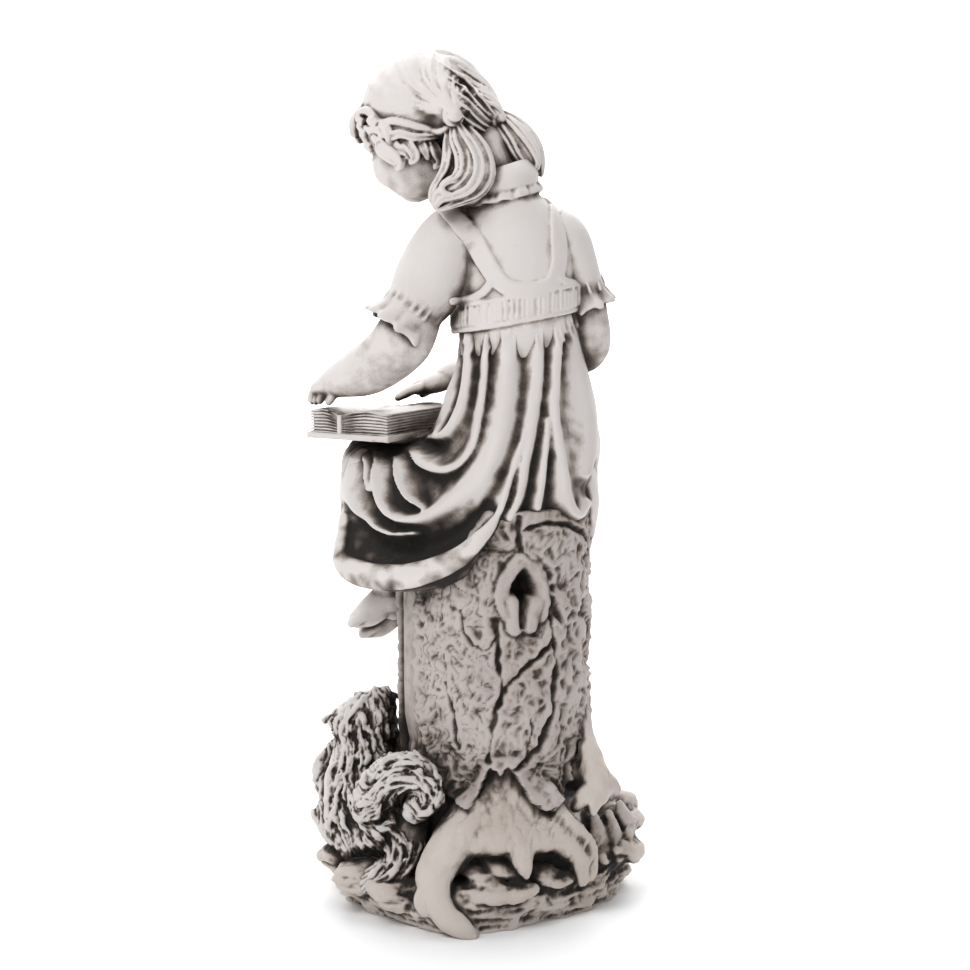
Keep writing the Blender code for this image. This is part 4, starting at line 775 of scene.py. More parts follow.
@dataclass
class TreeStump(Carving):
    """The stump, with bark over most of it, and a knot."""

    name: str = "tree_stump"
    surface: Surface = Surface.BARK
    width: float = STUMP_WIDTH
    bark: float = 0.75
    middle: tuple[float, float] = (1.0, 0.2)
    columns: int = 400
    low_rows: int = 112
    high_rows: int = 132
    hangs_below: float = 16.9
    clearance: float = 0.2

    def bark_over(self, wood: Array, angle: Array, view: Array, near: Array) -> Array:
        """Tells how far the bark stands out of the wood.

        Args:
            wood: points of the bare stump.
            angle: their angles about its axis.
            view: where the viewer sees them.
            near: which of them are on the viewer's side.

        Returns:
            The bark's height at each point, in units.
        """
        edge = np.array(BARK_EDGE)
        lowest = np.interp(view[:, 0], edge[BARK_TIP:, 0], edge[BARK_TIP:, 1])
        left = np.interp(view[:, 1], edge[BARK_TIP::-1, 1], edge[BARK_TIP::-1, 0])
        ragged = 0.22 * noise(wood, 1.1, 21) + 0.12 * noise(wood, 0.45, 22)
        beside = np.where(view[:, 0] < edge[BARK_TIP, 0], view[:, 0] - left, 9.0)
        inside = np.minimum(np.where(view[:, 0] < edge[BARK_TIP, 0], 9.0, (view[:, 1] - lowest) * 0.6),
                            beside) + ragged
        far_edge = 10.5 + 2.6 * np.abs(np.sin(angle * 2.5 + 0.7)) + ragged
        inside = np.where(near, inside, wood[:, 2] - far_edge)
        bark = limited(inside / 0.3 + 0.5)
        rim = np.exp(-(((inside - 0.4) / 0.35) ** 2)) * 0.22
        wandered = view + 0.2 * np.stack([noise(wood, 0.9, 26), noise(wood, 0.9, 27)], 1)
        groove, lip = np.zeros(len(wood)), np.zeros(len(wood))
        for wide, line in CRACKS:
            away = np.where(near, distance_to_line(wandered, smooth(line, 3)), 9.0)
            wide = wide * np.clip(1.1 + 1.1 * noise(wood, 1.8, 23), 0.35, 2.2)
            groove = np.maximum(groove, limited(1.3 - away / wide) * np.clip(wide / 0.2, 0.5, 1))
            lip = np.maximum(lip, np.exp(-(((away - wide * 2.2) / 0.35) ** 2)))
        wander = np.sin(angle * 4 + 0.8 * np.sin(wood[:, 2] * 0.33) + 0.5 * noise(wood, 3.0, 31))
        far_groove = limited(1.25 - (np.abs(wander) * 2.2 + 0.05) / 0.25)
        groove = np.where(near, groove, far_groove)
        right = limited((view[:, 0] - 0.5) / 3.0)
        rugged = np.maximum(right, np.clip((15 - view[:, 1]) / 6, 0, 0.7))
        bent = wood + 0.8 * np.stack([noise(wood, 1.7, 51), noise(wood, 1.7, 52), noise(wood, 1.7, 53)], 1)
        lumps = 0.2 * noise(bent, 2.4, 24) + 0.1 * noise(wood, 1.0, 25)
        scallops = 0.25 - 0.42 * np.abs(noise(bent * (1, 1, 0.75), 1.3, 28))
        scallops -= 0.2 * np.abs(noise(bent, 0.62, 30))
        scratches = -0.16 * limited(np.abs(noise(bent * (1, 1, 0.5), 0.8, 33)) * -6 + 1)
        fine = 0.06 * noise(bent, 0.34, 32)
        rough = lumps + (0.14 + 0.8 * rugged) * scallops + fine + scratches * (1 - rugged)
        hollow = 0.25 * np.clip(noise(wood * (1, 1, 0.4), 2.2, 34), -1, 1) * rugged
        cracked = self.bark * (1 - 0.65 * groove) + (rough + hollow) * (1 - 0.6 * groove) + 0.14 * lip
        return bark * cracked + rim * bark

    def over_roots(self, wood: Array, out: Array, axis: Array, near: Array) -> Array:
        """Moves the low part of the stump's skin out to the roots that its bark hangs over."""
        tree = RockyBase().wood().tree()
        reach = ((wood - axis) * out).sum(1)
        needed = reach.copy()
        for i in np.nonzero((wood[:, 2] < self.hangs_below) & near)[0]:
            hit, _, _, _ = tree.ray_cast(Vector(axis[i] + out[i] * 25), Vector(-out[i]))
            if hit is not None:
                needed[i] = max(reach[i], float((np.array(hit) - axis[i]) @ out[i]) + self.clearance)
        share = limited(self.hangs_below - wood[:, 2]) * limited(0.5 - out[:, 1] * 2)
        return wood + out * ((needed - reach) * share)[:, None]

    def knot_over(self, view: Array, near: Array) -> Array:
        """Tells how far the knot's ring and lips stand out, and its hole goes in."""
        ring = distance_to_line(view, smooth(KNOT_RING, 5))
        height = 0.7 * np.sqrt(limited(1 - (ring / 0.8) ** 2))
        for lip in KNOT_LIPS:
            away = distance_to_line(view, smooth(lip, 4))
            height = np.maximum(height, 0.95 * np.sqrt(limited(1 - (away / 0.8) ** 2)))
        offset = (view - (3.55, 30.3)) / (1.15, 1.5)
        hole = np.clip(1.25 - np.hypot(offset[:, 0], offset[:, 1]), 0, 0.8) * 3.4
        gap = limited(1 - distance_to_line(view, KNOT_GAP) / 0.35)
        sunk = limited(1 - ring / 1.6) * -0.3
        return np.where(near, height + sunk - np.where(height > 0.35, 0, hole) - gap, 0)

    def build(self) -> bpy.types.Object:
        """Builds the stump as one skin whose points are moved out and in."""
        levels = np.concatenate([np.linspace(4.0, 17.0, self.low_rows),
                                 np.linspace(17.12, SEAT + 0.6, self.high_rows)])
        angle = np.tile(np.linspace(0, TURN, self.columns, endpoint=False), len(levels))
        height = np.repeat(levels, self.columns)
        out = np.stack([np.sin(angle), -np.cos(angle), angle * 0], 1)
        flare = 0.14 + 0.24 * limited(-np.cos(angle) + 0.2)
        swell = 1 + flare * limited((13 - height) / 10) ** 1.6 + 0.02 * limited((height - 30) / 8)
        swell += 0.025 * np.sin(angle * 3 + 0.5) + 0.018 * np.sin(angle * 5 + height * 0.12)
        axis = np.stack([angle * 0 + self.middle[0], angle * 0 + self.middle[1], height], 1)
        wood = axis + out * ((self.width / UNIT / 2 - self.bark) * swell)[:, None]
        near = np.cos(angle) > -0.05
        hugged = self.over_roots(wood, out, axis, near)
        view = in_view(hugged)
        knot = self.knot_over(view, near)
        around = limited(distance_to_line(view, KNOT_AXIS) / 1.3 - 1.0)
        bark = self.bark_over(hugged, angle, view, near) * np.where(near, around, 1)
        streaks = 0.05 * noise(np.stack([angle * 9, height * 0.14, angle * 0], 1), 0.5, 41)
        streaks += 0.03 * noise(np.stack([angle * 9, height * 0.2, angle * 0], 1), 0.22, 42)
        bare = np.where(near, limited(1 - bark * 3), 0)
        moved = bark - 0.9 * bare * limited((18 - height) / 5)
        moved = moved + streaks * np.clip(1 - bark * 3, 0, 0.6) + knot
        moved += np.where(near, (1 - around) * 0.35, 0)
        hem = np.interp(view[:, 0], HEM_ACROSS, HEM_HEIGHT)
        moved = moved - np.where(near, limited((view[:, 1] - hem - 0.3) / 1.2) * 1.7, 0)
        wood = wood + (hugged - wood) * np.where(near, limited(bark / 0.3), 0)[:, None]
        grid = (wood + out * moved[:, None]).reshape(len(levels), self.columns, 3)
        made = cast(self.name, skin(grid))
        finish_with(made, "SMOOTH", factor=0.5, iterations=1)
        shade_smooth(made)
        return made


# Puppy

TAIL = ((-10.9, -5.0, 8.8), (-10.4, -6.3, 11.6), (-8.7, -7.3, 13.6), (-6.9, -8.0, 13.9), (-5.7, -8.5, 13.1),
        (-5.5, -8.9, 11.7), (-6.3, -9.2, 10.8))
TAIL_RADII = (2.1, 2.0, 1.95, 1.85, 1.7, 1.6, 1.45)
# How the fur runs, as the viewer sees it
FUR_LINES = (
    ((-11.3, 20.8), (-13.9, 19.5), (-15.0, 17.8), (-14.9, 15.8), (-14.3, 14.1)),
    ((-11.3, 20.8), (-12.6, 19.1), (-13.3, 17.1), (-13.2, 14.8), (-13.0, 12.7)),
    ((-10.9, 20.8), (-11.3, 18.4), (-11.2, 15.8), (-10.7, 13.1)),
    ((-10.6, 21.0), (-9.6, 19.1), (-9.2, 16.4), (-9.4, 14.1)),
    ((-13.9, 13.8), (-14.7, 11.4), (-15.6, 9.0), (-15.3, 6.3)),
    ((-13.0, 13.1), (-13.2, 10.4), (-12.9, 7.7), (-11.9, 5.3)),
    ((-11.3, 13.1), (-11.8, 10.4), (-11.4, 7.7), (-10.2, 5.6), (-9.1, 4.3)),
    ((-12.2, 7.0), (-11.8, 10.0), (-10.2, 12.7), (-7.4, 13.9), (-4.9, 12.9), (-3.8, 10.4), (-4.2, 8.0)),
    ((-11.2, 6.7), (-10.7, 9.4), (-9.4, 11.4), (-7.4, 12.2), (-5.8, 11.2), (-5.0, 9.4)),
    ((-10.2, 6.0), (-9.9, 8.4), (-8.8, 10.2), (-7.4, 10.7)),
    ((-4.2, 9.4), (-4.5, 7.7), (-6.1, 6.5), (-7.7, 7.2), (-8.2, 8.4)),
    ((-9.7, 6.0), (-8.7, 4.3), (-9.1, 2.2), (-11.1, 0.7)),
    ((-7.4, 5.6), (-6.7, 4.1), (-7.8, 2.2)),
)


@dataclass
class Puppy(Carving):
    """The curly puppy that sits at the stump's foot with its back to the viewer."""

    name: str = "puppy"
    most: int = 165000
    grain: float = 0.0011
    passes: int = 1
    surface: Surface = Surface.FUR
    seed: int = 4
    near_locks: int = 240
    far_tries: int = 260
    bed_grain: float = 0.0017
    bed_passes: int = 4

    def body(self) -> list[Form]:
        """Makes the body, head, ears and legs under the fur."""
        return [
            rod(((-11.0, -2.6, 7.6), (-11.8, -0.4, 10.8), (-12.0, 1.6, 13.6)), (4.6, 4.0, 3.0), sides=24),
            ball((-11.9, 2.6, 15.6), (3.3, 3.3, 3.4)),
            ball((-10.6, 3.0, 18.3), (1.7, 1.6, 1.3)),
            rod(((-11.6, 5.0, 16.6), (-10.6, 7.2, 17.2)), (2.1, 1.4), sides=16),
            rod(((-14.2, 2.6, 16.2), (-14.0, 2.2, 14.0), (-13.4, 1.8, 12.2)), (1.2, 1.5, 0.9), 0.7),
            rod(((-9.8, 3.0, 16.8), (-9.5, 2.4, 14.6), (-9.8, 2.0, 12.6)), (1.0, 1.3, 0.8), 0.7),
            rod(((-14.2, 3.0, 16.9), (-15.2, 2.8, 16.6), (-16.2, 2.6, 16.4)), (0.9, 0.65, 0.2), 0.6),
            rod(((-14.9, 3.0, 13.6), (-16.1, 2.4, 12.0), (-16.0, 1.6, 10.0), (-14.8, 1.2, 8.2)),
                (0.8, 0.95, 0.9, 0.8)),
            rod(((-16.1, -0.4, 7.6), (-14.0, -3.4, 6.2), (-11.4, -5.6, 5.2)), (1.2, 1.4, 0.8), 0.7),
            ball((-9.9, -5.0, 7.8), (3.3, 2.9, 3.4)),
            rod(((-7.6, -7.2, 6.6), (-7.3, -8.2, 5.2), (-8.8, -8.8, 4.3), (-10.6, -8.6, 3.6)),
                (1.8, 1.8, 1.8, 1.4), sides=16),
            rod(((-12.6, 5.4, 12.0), (-12.0, 7.6, 8.0), (-11.8, 8.4, 4.8)), (1.6, 1.3, 1.1)),
            rod(((-9.6, 5.6, 12.0), (-9.4, 7.4, 8.0), (-9.4, 8.2, 4.8)), (1.6, 1.3, 1.1)),
        ]

    def face(self) -> list[Form]:
        """Makes the puppy's eyes, nose and mouth, on the side away from the viewer."""
        forms = [ball((-10.4, 8.5, 17.6), (0.55, 0.5, 0.45)),
                 rod(((-11.1, 8.0, 16.2), (-10.1, 8.2, 16.3)), (0.35, 0.3))]
        for side in (1, -1):
            forms.append(ball((-11.3 + side * 1.2, 5.9 + side * 0.3, 17.7), 0.42))
            forms.append(rod(((-11.8 + side * 1.2, 5.4, 18.4), (-11.2 + side * 1.3, 5.9, 18.4)), (0.3, 0.25)))
        return forms

    @staticmethod
    def guides(steps: int) -> tuple[Array, Array]:
        """Gives places along the fur's lines, and the ways that it runs there."""
        lines = [smooth(line, steps) for line in FUR_LINES]
        ways = [unit(np.diff(line, axis=0)) for line in lines]
        return np.concatenate([line[:-1] for line in lines]), np.concatenate(ways)

    def locks(self, tree: BVHTree) -> list[Form]:
        """Lays wavy locks along the fur's lines, over the side next to the viewer."""
        pick = random.Random(self.seed)
        spots, ways = self.guides(6)
        forms = []
        for _ in range(self.near_locks):
            start = spots[pick.randrange(len(spots))] + (pick.gauss(0, 0.6), pick.gauss(0, 0.6))
            wave, turn = pick.uniform(0.15, 0.6), pick.choice((-1, 1))
            step = pick.uniform(0.3, 0.52)
            path = [start]
            for bend in range(5):
                weight = np.exp(-((spots - path[-1]) ** 2).sum(1) / 0.5)[:, None]
                way = unit((ways * weight).sum(0) + 1e-6)
                across = np.array((-way[1], way[0])) * turn * wave * math.cos(bend * 1.9)
                path.append(path[-1] + (way + across) * step)
            hits, _ = seen(path, tree, 0.0, 1)
            jump = np.linalg.norm(np.diff(hits, axis=0), axis=1).max()
            if jump < 1.6:
                size = np.array((0.12, 0.3, 0.4, 0.36, 0.24, 0.06)) * pick.uniform(0.7, 1.2)
                forms.append(ridge(path, size, tree, 1.0, pick.uniform(0.05, 0.2), 2, 8))
        return forms

    def far_locks(self, body: Form) -> list[Form]:
        """Lays fewer locks on the side that the photograph doesn't show."""
        pick = random.Random(self.seed + 1)
        tree = body.tree()
        forms = []
        for _ in range(self.far_tries):
            start = np.array((-11.8 + pick.uniform(-3.4, 3.4), 14.0, pick.uniform(6.5, 19.5)))
            hit, normal, _, _ = tree.ray_cast(Vector(start), Vector((0, -1, 0)))
            if hit is None or hit.y > 7.0:
                continue
            normal = np.array(normal)
            down = unit(np.array((pick.uniform(-0.4, 0.4), 0, -1.0)) - normal * (normal @ (0, 0, -1.0)))
            spot = np.array(hit) + normal * 0.06
            path = (spot, spot + down * 0.55, spot + down * 1.15)
            forms.append(rod(path, (0.14, 0.28, 0.06), 0.8, normal, 6, 2))
        return forms

    def flow(self, view: Array) -> Array:
        """Gives the way that the fur runs at each place that the viewer sees."""
        spots, ways = self.guides(4)
        left, low, cell = -18, -1, 0.2
        columns, rows = np.arange(left, -2, cell), np.arange(low, 23, cell)
        places = np.stack(np.meshgrid(columns, rows, indexing="ij"), 2).reshape(-1, 2)
        away = ((places[:, None] - spots[None]) ** 2).sum(2)
        mixed = unit(np.exp(-(away - away.min(1)[:, None]) / 0.6) @ ways + 1e-9)
        column = np.clip(np.round((view[:, 0] - left) / cell), 0, len(columns) - 1).astype(int)
        row = np.clip(np.round((view[:, 1] - low) / cell), 0, len(rows) - 1).astype(int)
        return mixed[column * len(rows) + row]

    def strands(self, view: Array, size: float, reach: float, seed: int) -> Array:
        """Draws strands of a size along the fur, as heights that mostly lie from -1 to 1."""
        total = np.zeros(len(view))
        strides = 7
        for sense in (1, -1):
            spot = view.copy()
            for _ in range(strides):
                way = self.flow(spot)
                wave = 0.55 * noise(np.stack([spot[:, 0], spot[:, 1], spot[:, 0] * 0], 1), 1.1, 84)
                way = way + np.stack([-way[:, 1], way[:, 0]], 1) * wave[:, None]
                total += noise(np.stack([spot[:, 0], spot[:, 1], spot[:, 0] * 0 + seed], 1), size, seed)
                spot = spot + way * sense * reach / strides
        return total / total.std()

    def forms(self) -> list[Form]:
        """Lays the body, face, tail and fur."""
        body = self.body() + [rod(TAIL, TAIL_RADII, sides=20)]
        body = melted(body, self.bed_grain, self.bed_passes)
        return [body] + self.face() + self.locks(body.tree()) + self.far_locks(body)

    def relief(self, points: Array, ways: Array) -> Array:
        """Combs strands into the fur."""
        view = in_view(points)
        near = limited(0.6 - ways[:, 1] * 3)
        fine = np.clip(self.strands(view, 0.3, 0.9, 82), -1.7, 1.3)
        broad = np.clip(self.strands(view, 0.62, 1.3, 83), -1.7, 1.3)
        far = noise(points * (1, 1, 0.3), 0.4, 85) * 2
        return near * (0.055 * fine + 0.095 * broad) + (1 - near) * 0.12 * far

    def shade_and_stains(self, points: Array, ways: Array) -> Array:
        """Darkens the head more."""
        return super().shade_and_stains(points, ways) + 0.1 * limited((points[:, 2] - 11) / 4)


# Skirt

# Lines down the skirt from its seam to its hem, from the middle of the viewer's side round to the right
SKIRT = (
    ((3.0, -5.3, 56.0), (2.6, -6.4, 52.0), (2.2, -7.8, 47.5), (1.8, -9.2, 43.0), (1.5, -9.8, 40.0),
     (1.5, -9.9, 37.3)),
    ((7.0, -4.0, 57.0), (7.6, -4.9, 52.5), (8.2, -5.9, 48.0), (8.9, -6.8, 43.5), (8.8, -7.2, 40.5),
     (8.4, -7.2, 37.6)),
    ((8.6, -1.0, 57.6), (9.5, -0.8, 53.0), (10.8, -0.4, 48.5), (11.6, 0.2, 44.0), (11.5, 0.6, 41.0),
     (10.9, 1.0, 38.8)),
    ((7.0, 2.2, 57.0), (8.0, 3.8, 53.0), (8.8, 5.8, 48.5), (9.4, 7.8, 44.5), (9.5, 8.8, 41.0),
     (9.2, 9.2, 37.0)),
    ((3.0, 3.4, 56.2), (2.6, 5.0, 52.0), (1.5, 8.0, 47.5), (0.0, 12.0, 45.0), (-0.6, 13.0, 41.0),
     (-0.8, 13.0, 35.0)),
    ((-0.8, 2.2, 55.6), (-1.8, 3.5, 51.0), (-4.0, 7.0, 46.0), (-7.5, 12.0, 45.6), (-9.6, 13.8, 42.0),
     (-9.8, 13.6, 33.5)),
    ((-2.4, 0.8, 55.5), (-3.2, 1.5, 50.5), (-6.0, 4.0, 45.0), (-12.4, 8.6, 44.4), (-13.8, 9.4, 41.0),
     (-13.6, 9.0, 32.0)),
    ((-2.9, -1.0, 55.4), (-3.6, -0.8, 50.0), (-6.0, 0.8, 44.6), (-12.8, 3.6, 43.6), (-14.3, 4.2, 40.0),
     (-14.2, 4.0, 31.5)),
    ((-2.2, -3.2, 55.4), (-3.2, -3.4, 49.5), (-5.5, -2.8, 44.2), (-10.6, -1.6, 42.0), (-12.8, -1.6, 38.0),
     (-13.2, -1.4, 31.0)),
    ((-0.4, -4.6, 55.6), (-1.4, -5.4, 50.5), (-3.2, -6.2, 45.0), (-5.8, -6.4, 41.2), (-8.0, -6.5, 36.6),
     (-8.8, -6.6, 31.0)),
    ((1.6, -5.2, 55.9), (1.0, -6.3, 51.0), (0.0, -7.6, 46.0), (-1.2, -9.0, 41.6), (-2.2, -9.7, 37.2),
     (-2.6, -9.9, 32.6)),
)
# The folds as the viewer sees them: half their widths, and their paths
FOLDS = (
    ((0.5, 0.5, 0.5, 0.45),
     ((-3.5, 55.0), (-3.6, 51.8), (-4.0, 48.6), (-5.0, 45.4))),
    ((0.6, 0.7, 0.7, 0.6, 0.5),
     ((-1.8, 55.0), (-1.9, 51.5), (-2.6, 48.0), (-4.2, 45.4), (-5.8, 45.1))),
    ((0.5, 0.6, 0.65, 0.6, 0.55, 0.5, 0.5, 0.5, 0.45, 0.4),
     ((0.1, 55.0), (-0.1, 50.6), (-0.6, 47.0), (-1.3, 44.1), (-2.9, 42.2), (-4.8, 41.8), (-6.8, 42.6),
      (-7.7, 44.4), (-7.3, 45.9), (-6.3, 46.4))),
    ((1.3, 1.6, 1.8, 1.6, 1.3, 1.0, 0.75, 0.6, 0.5, 0.45, 0.4),
     ((2.1, 55.4), (2.2, 50.9), (1.6, 46.7), (0.3, 43.1), (-1.8, 40.1), (-4.5, 38.1), (-7.1, 37.0),
      (-9.4, 37.3), (-10.7, 38.9), (-11.1, 41.5), (-10.6, 44.1))),
    ((0.9, 1.0, 1.0, 0.8, 0.7, 0.7),
     ((5.3, 55.7), (5.2, 50.9), (4.6, 46.1), (3.9, 42.2), (3.4, 39.2), (2.4, 37.1))),
    ((0.3, 0.5, 0.8, 1.0, 1.3, 1.5, 1.6, 1.7, 1.5, 1.0),
     ((4.0, 45.7), (2.6, 41.2), (1.3, 37.6), (-0.6, 35.0), (-3.2, 32.9), (-7.1, 31.5), (-10.7, 31.4),
      (-13.3, 32.4), (-14.3, 34.7), (-14.1, 37.0))),
    ((0.3, 0.5, 0.55, 0.6, 0.6),
     ((6.2, 46.7), (6.1, 44.4), (5.8, 41.8), (5.5, 39.7), (5.2, 38.1))),
    ((0.7, 0.75, 0.75, 0.8, 0.8, 0.7, 0.5),
     ((7.4, 56.3), (7.1, 51.8), (6.9, 47.3), (7.6, 42.8), (8.3, 38.9), (9.4, 37.4), (10.3, 38.6))),
    ((0.6, 0.8, 0.9, 0.8, 0.6),
     ((8.8, 56.6), (9.5, 52.5), (10.4, 48.0), (10.7, 44.4), (10.2, 41.5))),
    ((0.7, 0.6, 0.5, 0.45, 0.4, 0.3),
     ((-13.8, 44.4), (-14.1, 41.5), (-13.6, 38.9), (-12.0, 36.8), (-9.7, 35.6), (-7.4, 35.6))),
    ((0.35, 0.4, 0.4, 0.3),
     ((-9.1, 43.1), (-8.9, 41.2), (-7.9, 39.2), (-6.3, 38.1))),
    ((0.35, 0.4, 0.35),
     ((-11.9, 43.1), (-11.9, 41.5), (-11.6, 39.9))),
)
HEM_FOLD = 5
# The hollow over the hem's fold, as the viewer sees it
VALLEY = ((0.4, 37.6), (-2.2, 35.6), (-5.4, 34.2), (-8.6, 33.9), (-11.4, 34.6), (-12.8, 36.2))
FAR_FOLDS = 17


@dataclass
class Skirt(Carving):
    """The pinafore's skirt, which falls from its seam over the lap and the stump's edge."""

    name: str = "skirt"
    most: int = 95000
    grain: float = 0.0015
    passes: int = 6
    surface: Surface = Surface.CLOTH
    fold_depth: float = 1.3
    columns: int = 420
    gather_count: int = 30

    def sunk(self, points: Array, middle: Array) -> Array:
        """Lets the cloth swell along each fold that the viewer sees, and sink between them."""
        view = in_view(points)
        near = np.full(len(points), 9.0)
        for widths, path in FOLDS:
            line = smooth(path, 4)
            near = np.minimum(near, share_of_width(view, line, spread(widths, len(line))))
        sag = 1 - 1 / (1 + near**2.6)
        place = np.arange(len(points)) / len(points)
        wandering = FAR_FOLDS * place + 0.8 * noise(points * (0.5, 0.5, 1), 9.0, 61)
        wandering += 0.4 * np.sin(place * 40)
        far = np.abs((wandering % 1.0) - 0.5) * 2
        far_sag = 0.75 * far**2.4 * (0.7 + 0.5 * noise(points, 6.0, 62))
        inward = unit((middle - points) * (1, 1, 0))
        seen_share = limited(inward[:, 1] * 2.2 + 0.6)
        lap = 1 + 0.4 * limited((-1.0 - view[:, 0]) / 4)
        valley = 0.8 * np.exp(-(distance_to_line(view, smooth(VALLEY, 4)) ** 2))
        depth = self.fold_depth * ((sag * lap + valley) * seen_share + far_sag * (1 - seen_share))
        depth *= limited((56.6 - points[:, 2]) / 2.2)
        return points + inward * depth[:, None]

    def shell(self) -> Form:
        """Makes the skirt without its folds, hollowed a little from below."""
        levels = np.array([smooth(list(line), 22) for line in SKIRT])
        wrapped = np.concatenate([levels[-2:], levels, levels[:3]])
        index = (np.linspace(0, len(SKIRT), self.columns, endpoint=False) + 2) * 24
        low = index.astype(int)
        part = (index - low)[:, None]
        middle = np.array((0.5, 1.0, 0.0))
        rings = []
        for level in range(levels.shape[1]):
            curve = smooth(wrapped[:, level], 24)
            rings.append(curve[low] * (1 - part) + curve[low + 1] * part)
        rings = [self.sunk(ring, middle) for ring in rings]
        hem = rings[-1]
        for share, rise in ((0.96, -0.1), (0.9, 0.4), (0.8, 2.5), (0.5, 5.0)):
            ring = middle + (hem - middle) * (share, share, 1)
            ring[:, 2] = np.minimum(hem[:, 2] + rise, SEAT + 1)
            rings.append(ring)
        return skin(rings)

    def shade_and_stains(self, points: Array, ways: Array) -> Array:
        """Adds painted shade in the hollow over the hem's fold, and darkens the cloth towards the hem and low
        down.
        """
        view = in_view(points)
        # Painted shade in the hollow over the hem's fold
        valley = np.exp(-(distance_to_line(view, smooth(VALLEY, 4)) ** 2) / 1.4)
        hem = limited((37 - view[:, 1]) / 3) * limited(0.24 + 0.3 * noise(points, 1.5, 68))
        seen_share = limited(0.6 - ways[:, 1] * 2)
        low = 0.1 * limited((40 - points[:, 2]) / 5)
        return super().shade_and_stains(points, ways) + low + (0.2 * valley + hem) * seen_share

    def gathers(self, tree: BVHTree) -> list[Form]:
        """Makes the small folds just under the seam."""
        pick = random.Random(12)
        forms = []
        for i in range(self.gather_count):
            x = -2.9 + 11.8 * (i + pick.uniform(-0.2, 0.2)) / (self.gather_count - 1)
            top = 56.0 + 0.16 * x
            drop = pick.uniform(1.6, 4.2)
            path = ((x, top), (x + 0.02 * (x - 3) * drop, top - drop * 0.5),
                    (x + 0.07 * (x - 3) * drop, top - drop))
            forms.append(ridge(path, (0.18, 0.24, 0.05), tree, 1.0, 0.02, 4, 8))
        return forms

    def forms(self) -> list[Form]:
        """Lays the shell and all its folds."""
        shell = self.shell()
        tree = shell.tree()
        widths, path = FOLDS[HEM_FOLD]
        hanging = ((9.9, -0.6, 41.0), (10.2, -0.4, 38.6), (10.2, -0.2, 36.6))
        sizes = np.concatenate([(0.1, 0.35), np.array(widths[3:]) * 0.8])
        roll = ridge(path[1:], sizes, tree, 0.75, 0.05, 8, 20)
        return [shell, roll, rod(hanging, (2.6, 2.3, 1.7), 0.36, (1, -0.15, 0), 20)] + self.gathers(tree)


@dataclass
class Legs(Carving):
    """The shins and bare feet that hang under the skirt."""

    name: str = "legs_and_feet"
    grain: float = 0.0013
    passes: int = 3
    surface: Surface = Surface.SKIN

    def forms(self) -> list[Form]:
        """Lays the shins, the feet and their toes."""
        forms = [
            rod(((-11.0, 4.0, 41.0), (-10.6, 5.0, 34.5), (-9.7, 5.9, 29.4), (-9.2, 6.2, 27.4)),
                (3.0, 2.4, 1.6, 1.5), sides=20),
            rod(((-8.6, 9.6, 42.0), (-8.8, 9.4, 34.0), (-8.2, 9.0, 27.6), (-8.0, 9.0, 26.0)),
                (3.0, 2.4, 1.6, 1.5), sides=20),
        ]
        for heel, knuckles, toes in (
            ((-8.6, 6.0, 28.0), (-11.6, 6.2, 26.7), (-12.6, 6.3, 26.1)),
            ((-7.8, 9.2, 26.6), (-10.8, 9.0, 25.0), (-11.8, 9.0, 24.5)),
        ):
            heel, knuckles, toes = np.array(heel), np.array(knuckles), np.array(toes)
            arch = (heel + knuckles) / 2 + (0, 0, 0.5)
            forms.append(rod((heel, arch, knuckles, toes), (1.7, 1.75, 1.6, 1.2), 0.9, (0, 0, 1), 20))
            side = unit(np.cross(toes - heel, (0, 0, 1)))
            for i in range(5):
                start = knuckles + side * (i - 2) * 0.6
                tip = toes + side * (i - 2) * 0.62 + unit(toes - heel) * (0.75 - 0.2 * abs(i - 0.6))
                forms.append(rod((start, tip), (0.55, 0.46 if i else 0.6), 0.9, (0, 0, 1), 12, 4))
            forms.append(ball(heel + (0.9, 0, -0.5), 1.3))
        return forms


# Bodice, arms and book

# The body's rings: height, middle in X and Y, half width, half depth
TORSO = (
    (43.5, 1.0, 0.5, 7.0, 5.6), (48.0, 2.0, 0.0, 5.9, 4.9), (52.0, 2.7, -0.7, 5.4, 4.4),
    (56.0, 3.0, -1.0, 5.75, 4.4), (60.0, 3.0, -1.0, 5.95, 4.4), (63.2, 2.8, -0.8, 6.1, 4.1),
    (65.6, 2.4, -0.8, 5.3, 3.9), (67.4, 1.9, -0.8, 4.3, 3.5), (68.8, 1.6, -0.8, 3.0, 2.9),
)
# The line of the straps and the neckline as the viewer sees them
STRAPS = (
    (-4.0, 67.2), (-3.0, 66.2), (-1.2, 64.0), (0.0, 62.0), (1.1, 60.3), (2.4, 59.3),
    (4.3, 59.1), (6.2, 59.7), (7.0, 61.4), (7.0, 63.8), (6.8, 66.0), (6.4, 67.6),
)


def near_sleeve() -> Form:
    """Makes the puffed sleeve next to the viewer, which the bodice's strap runs over."""
    path = ((-0.9, -0.7, 65.3), (-3.3, -1.3, 63.7), (-5.2, -2.1, 60.0), (-6.9, -2.8, 57.2))
    return rod(path, (2.6, 3.25, 3.5, 2.75), sides=32)


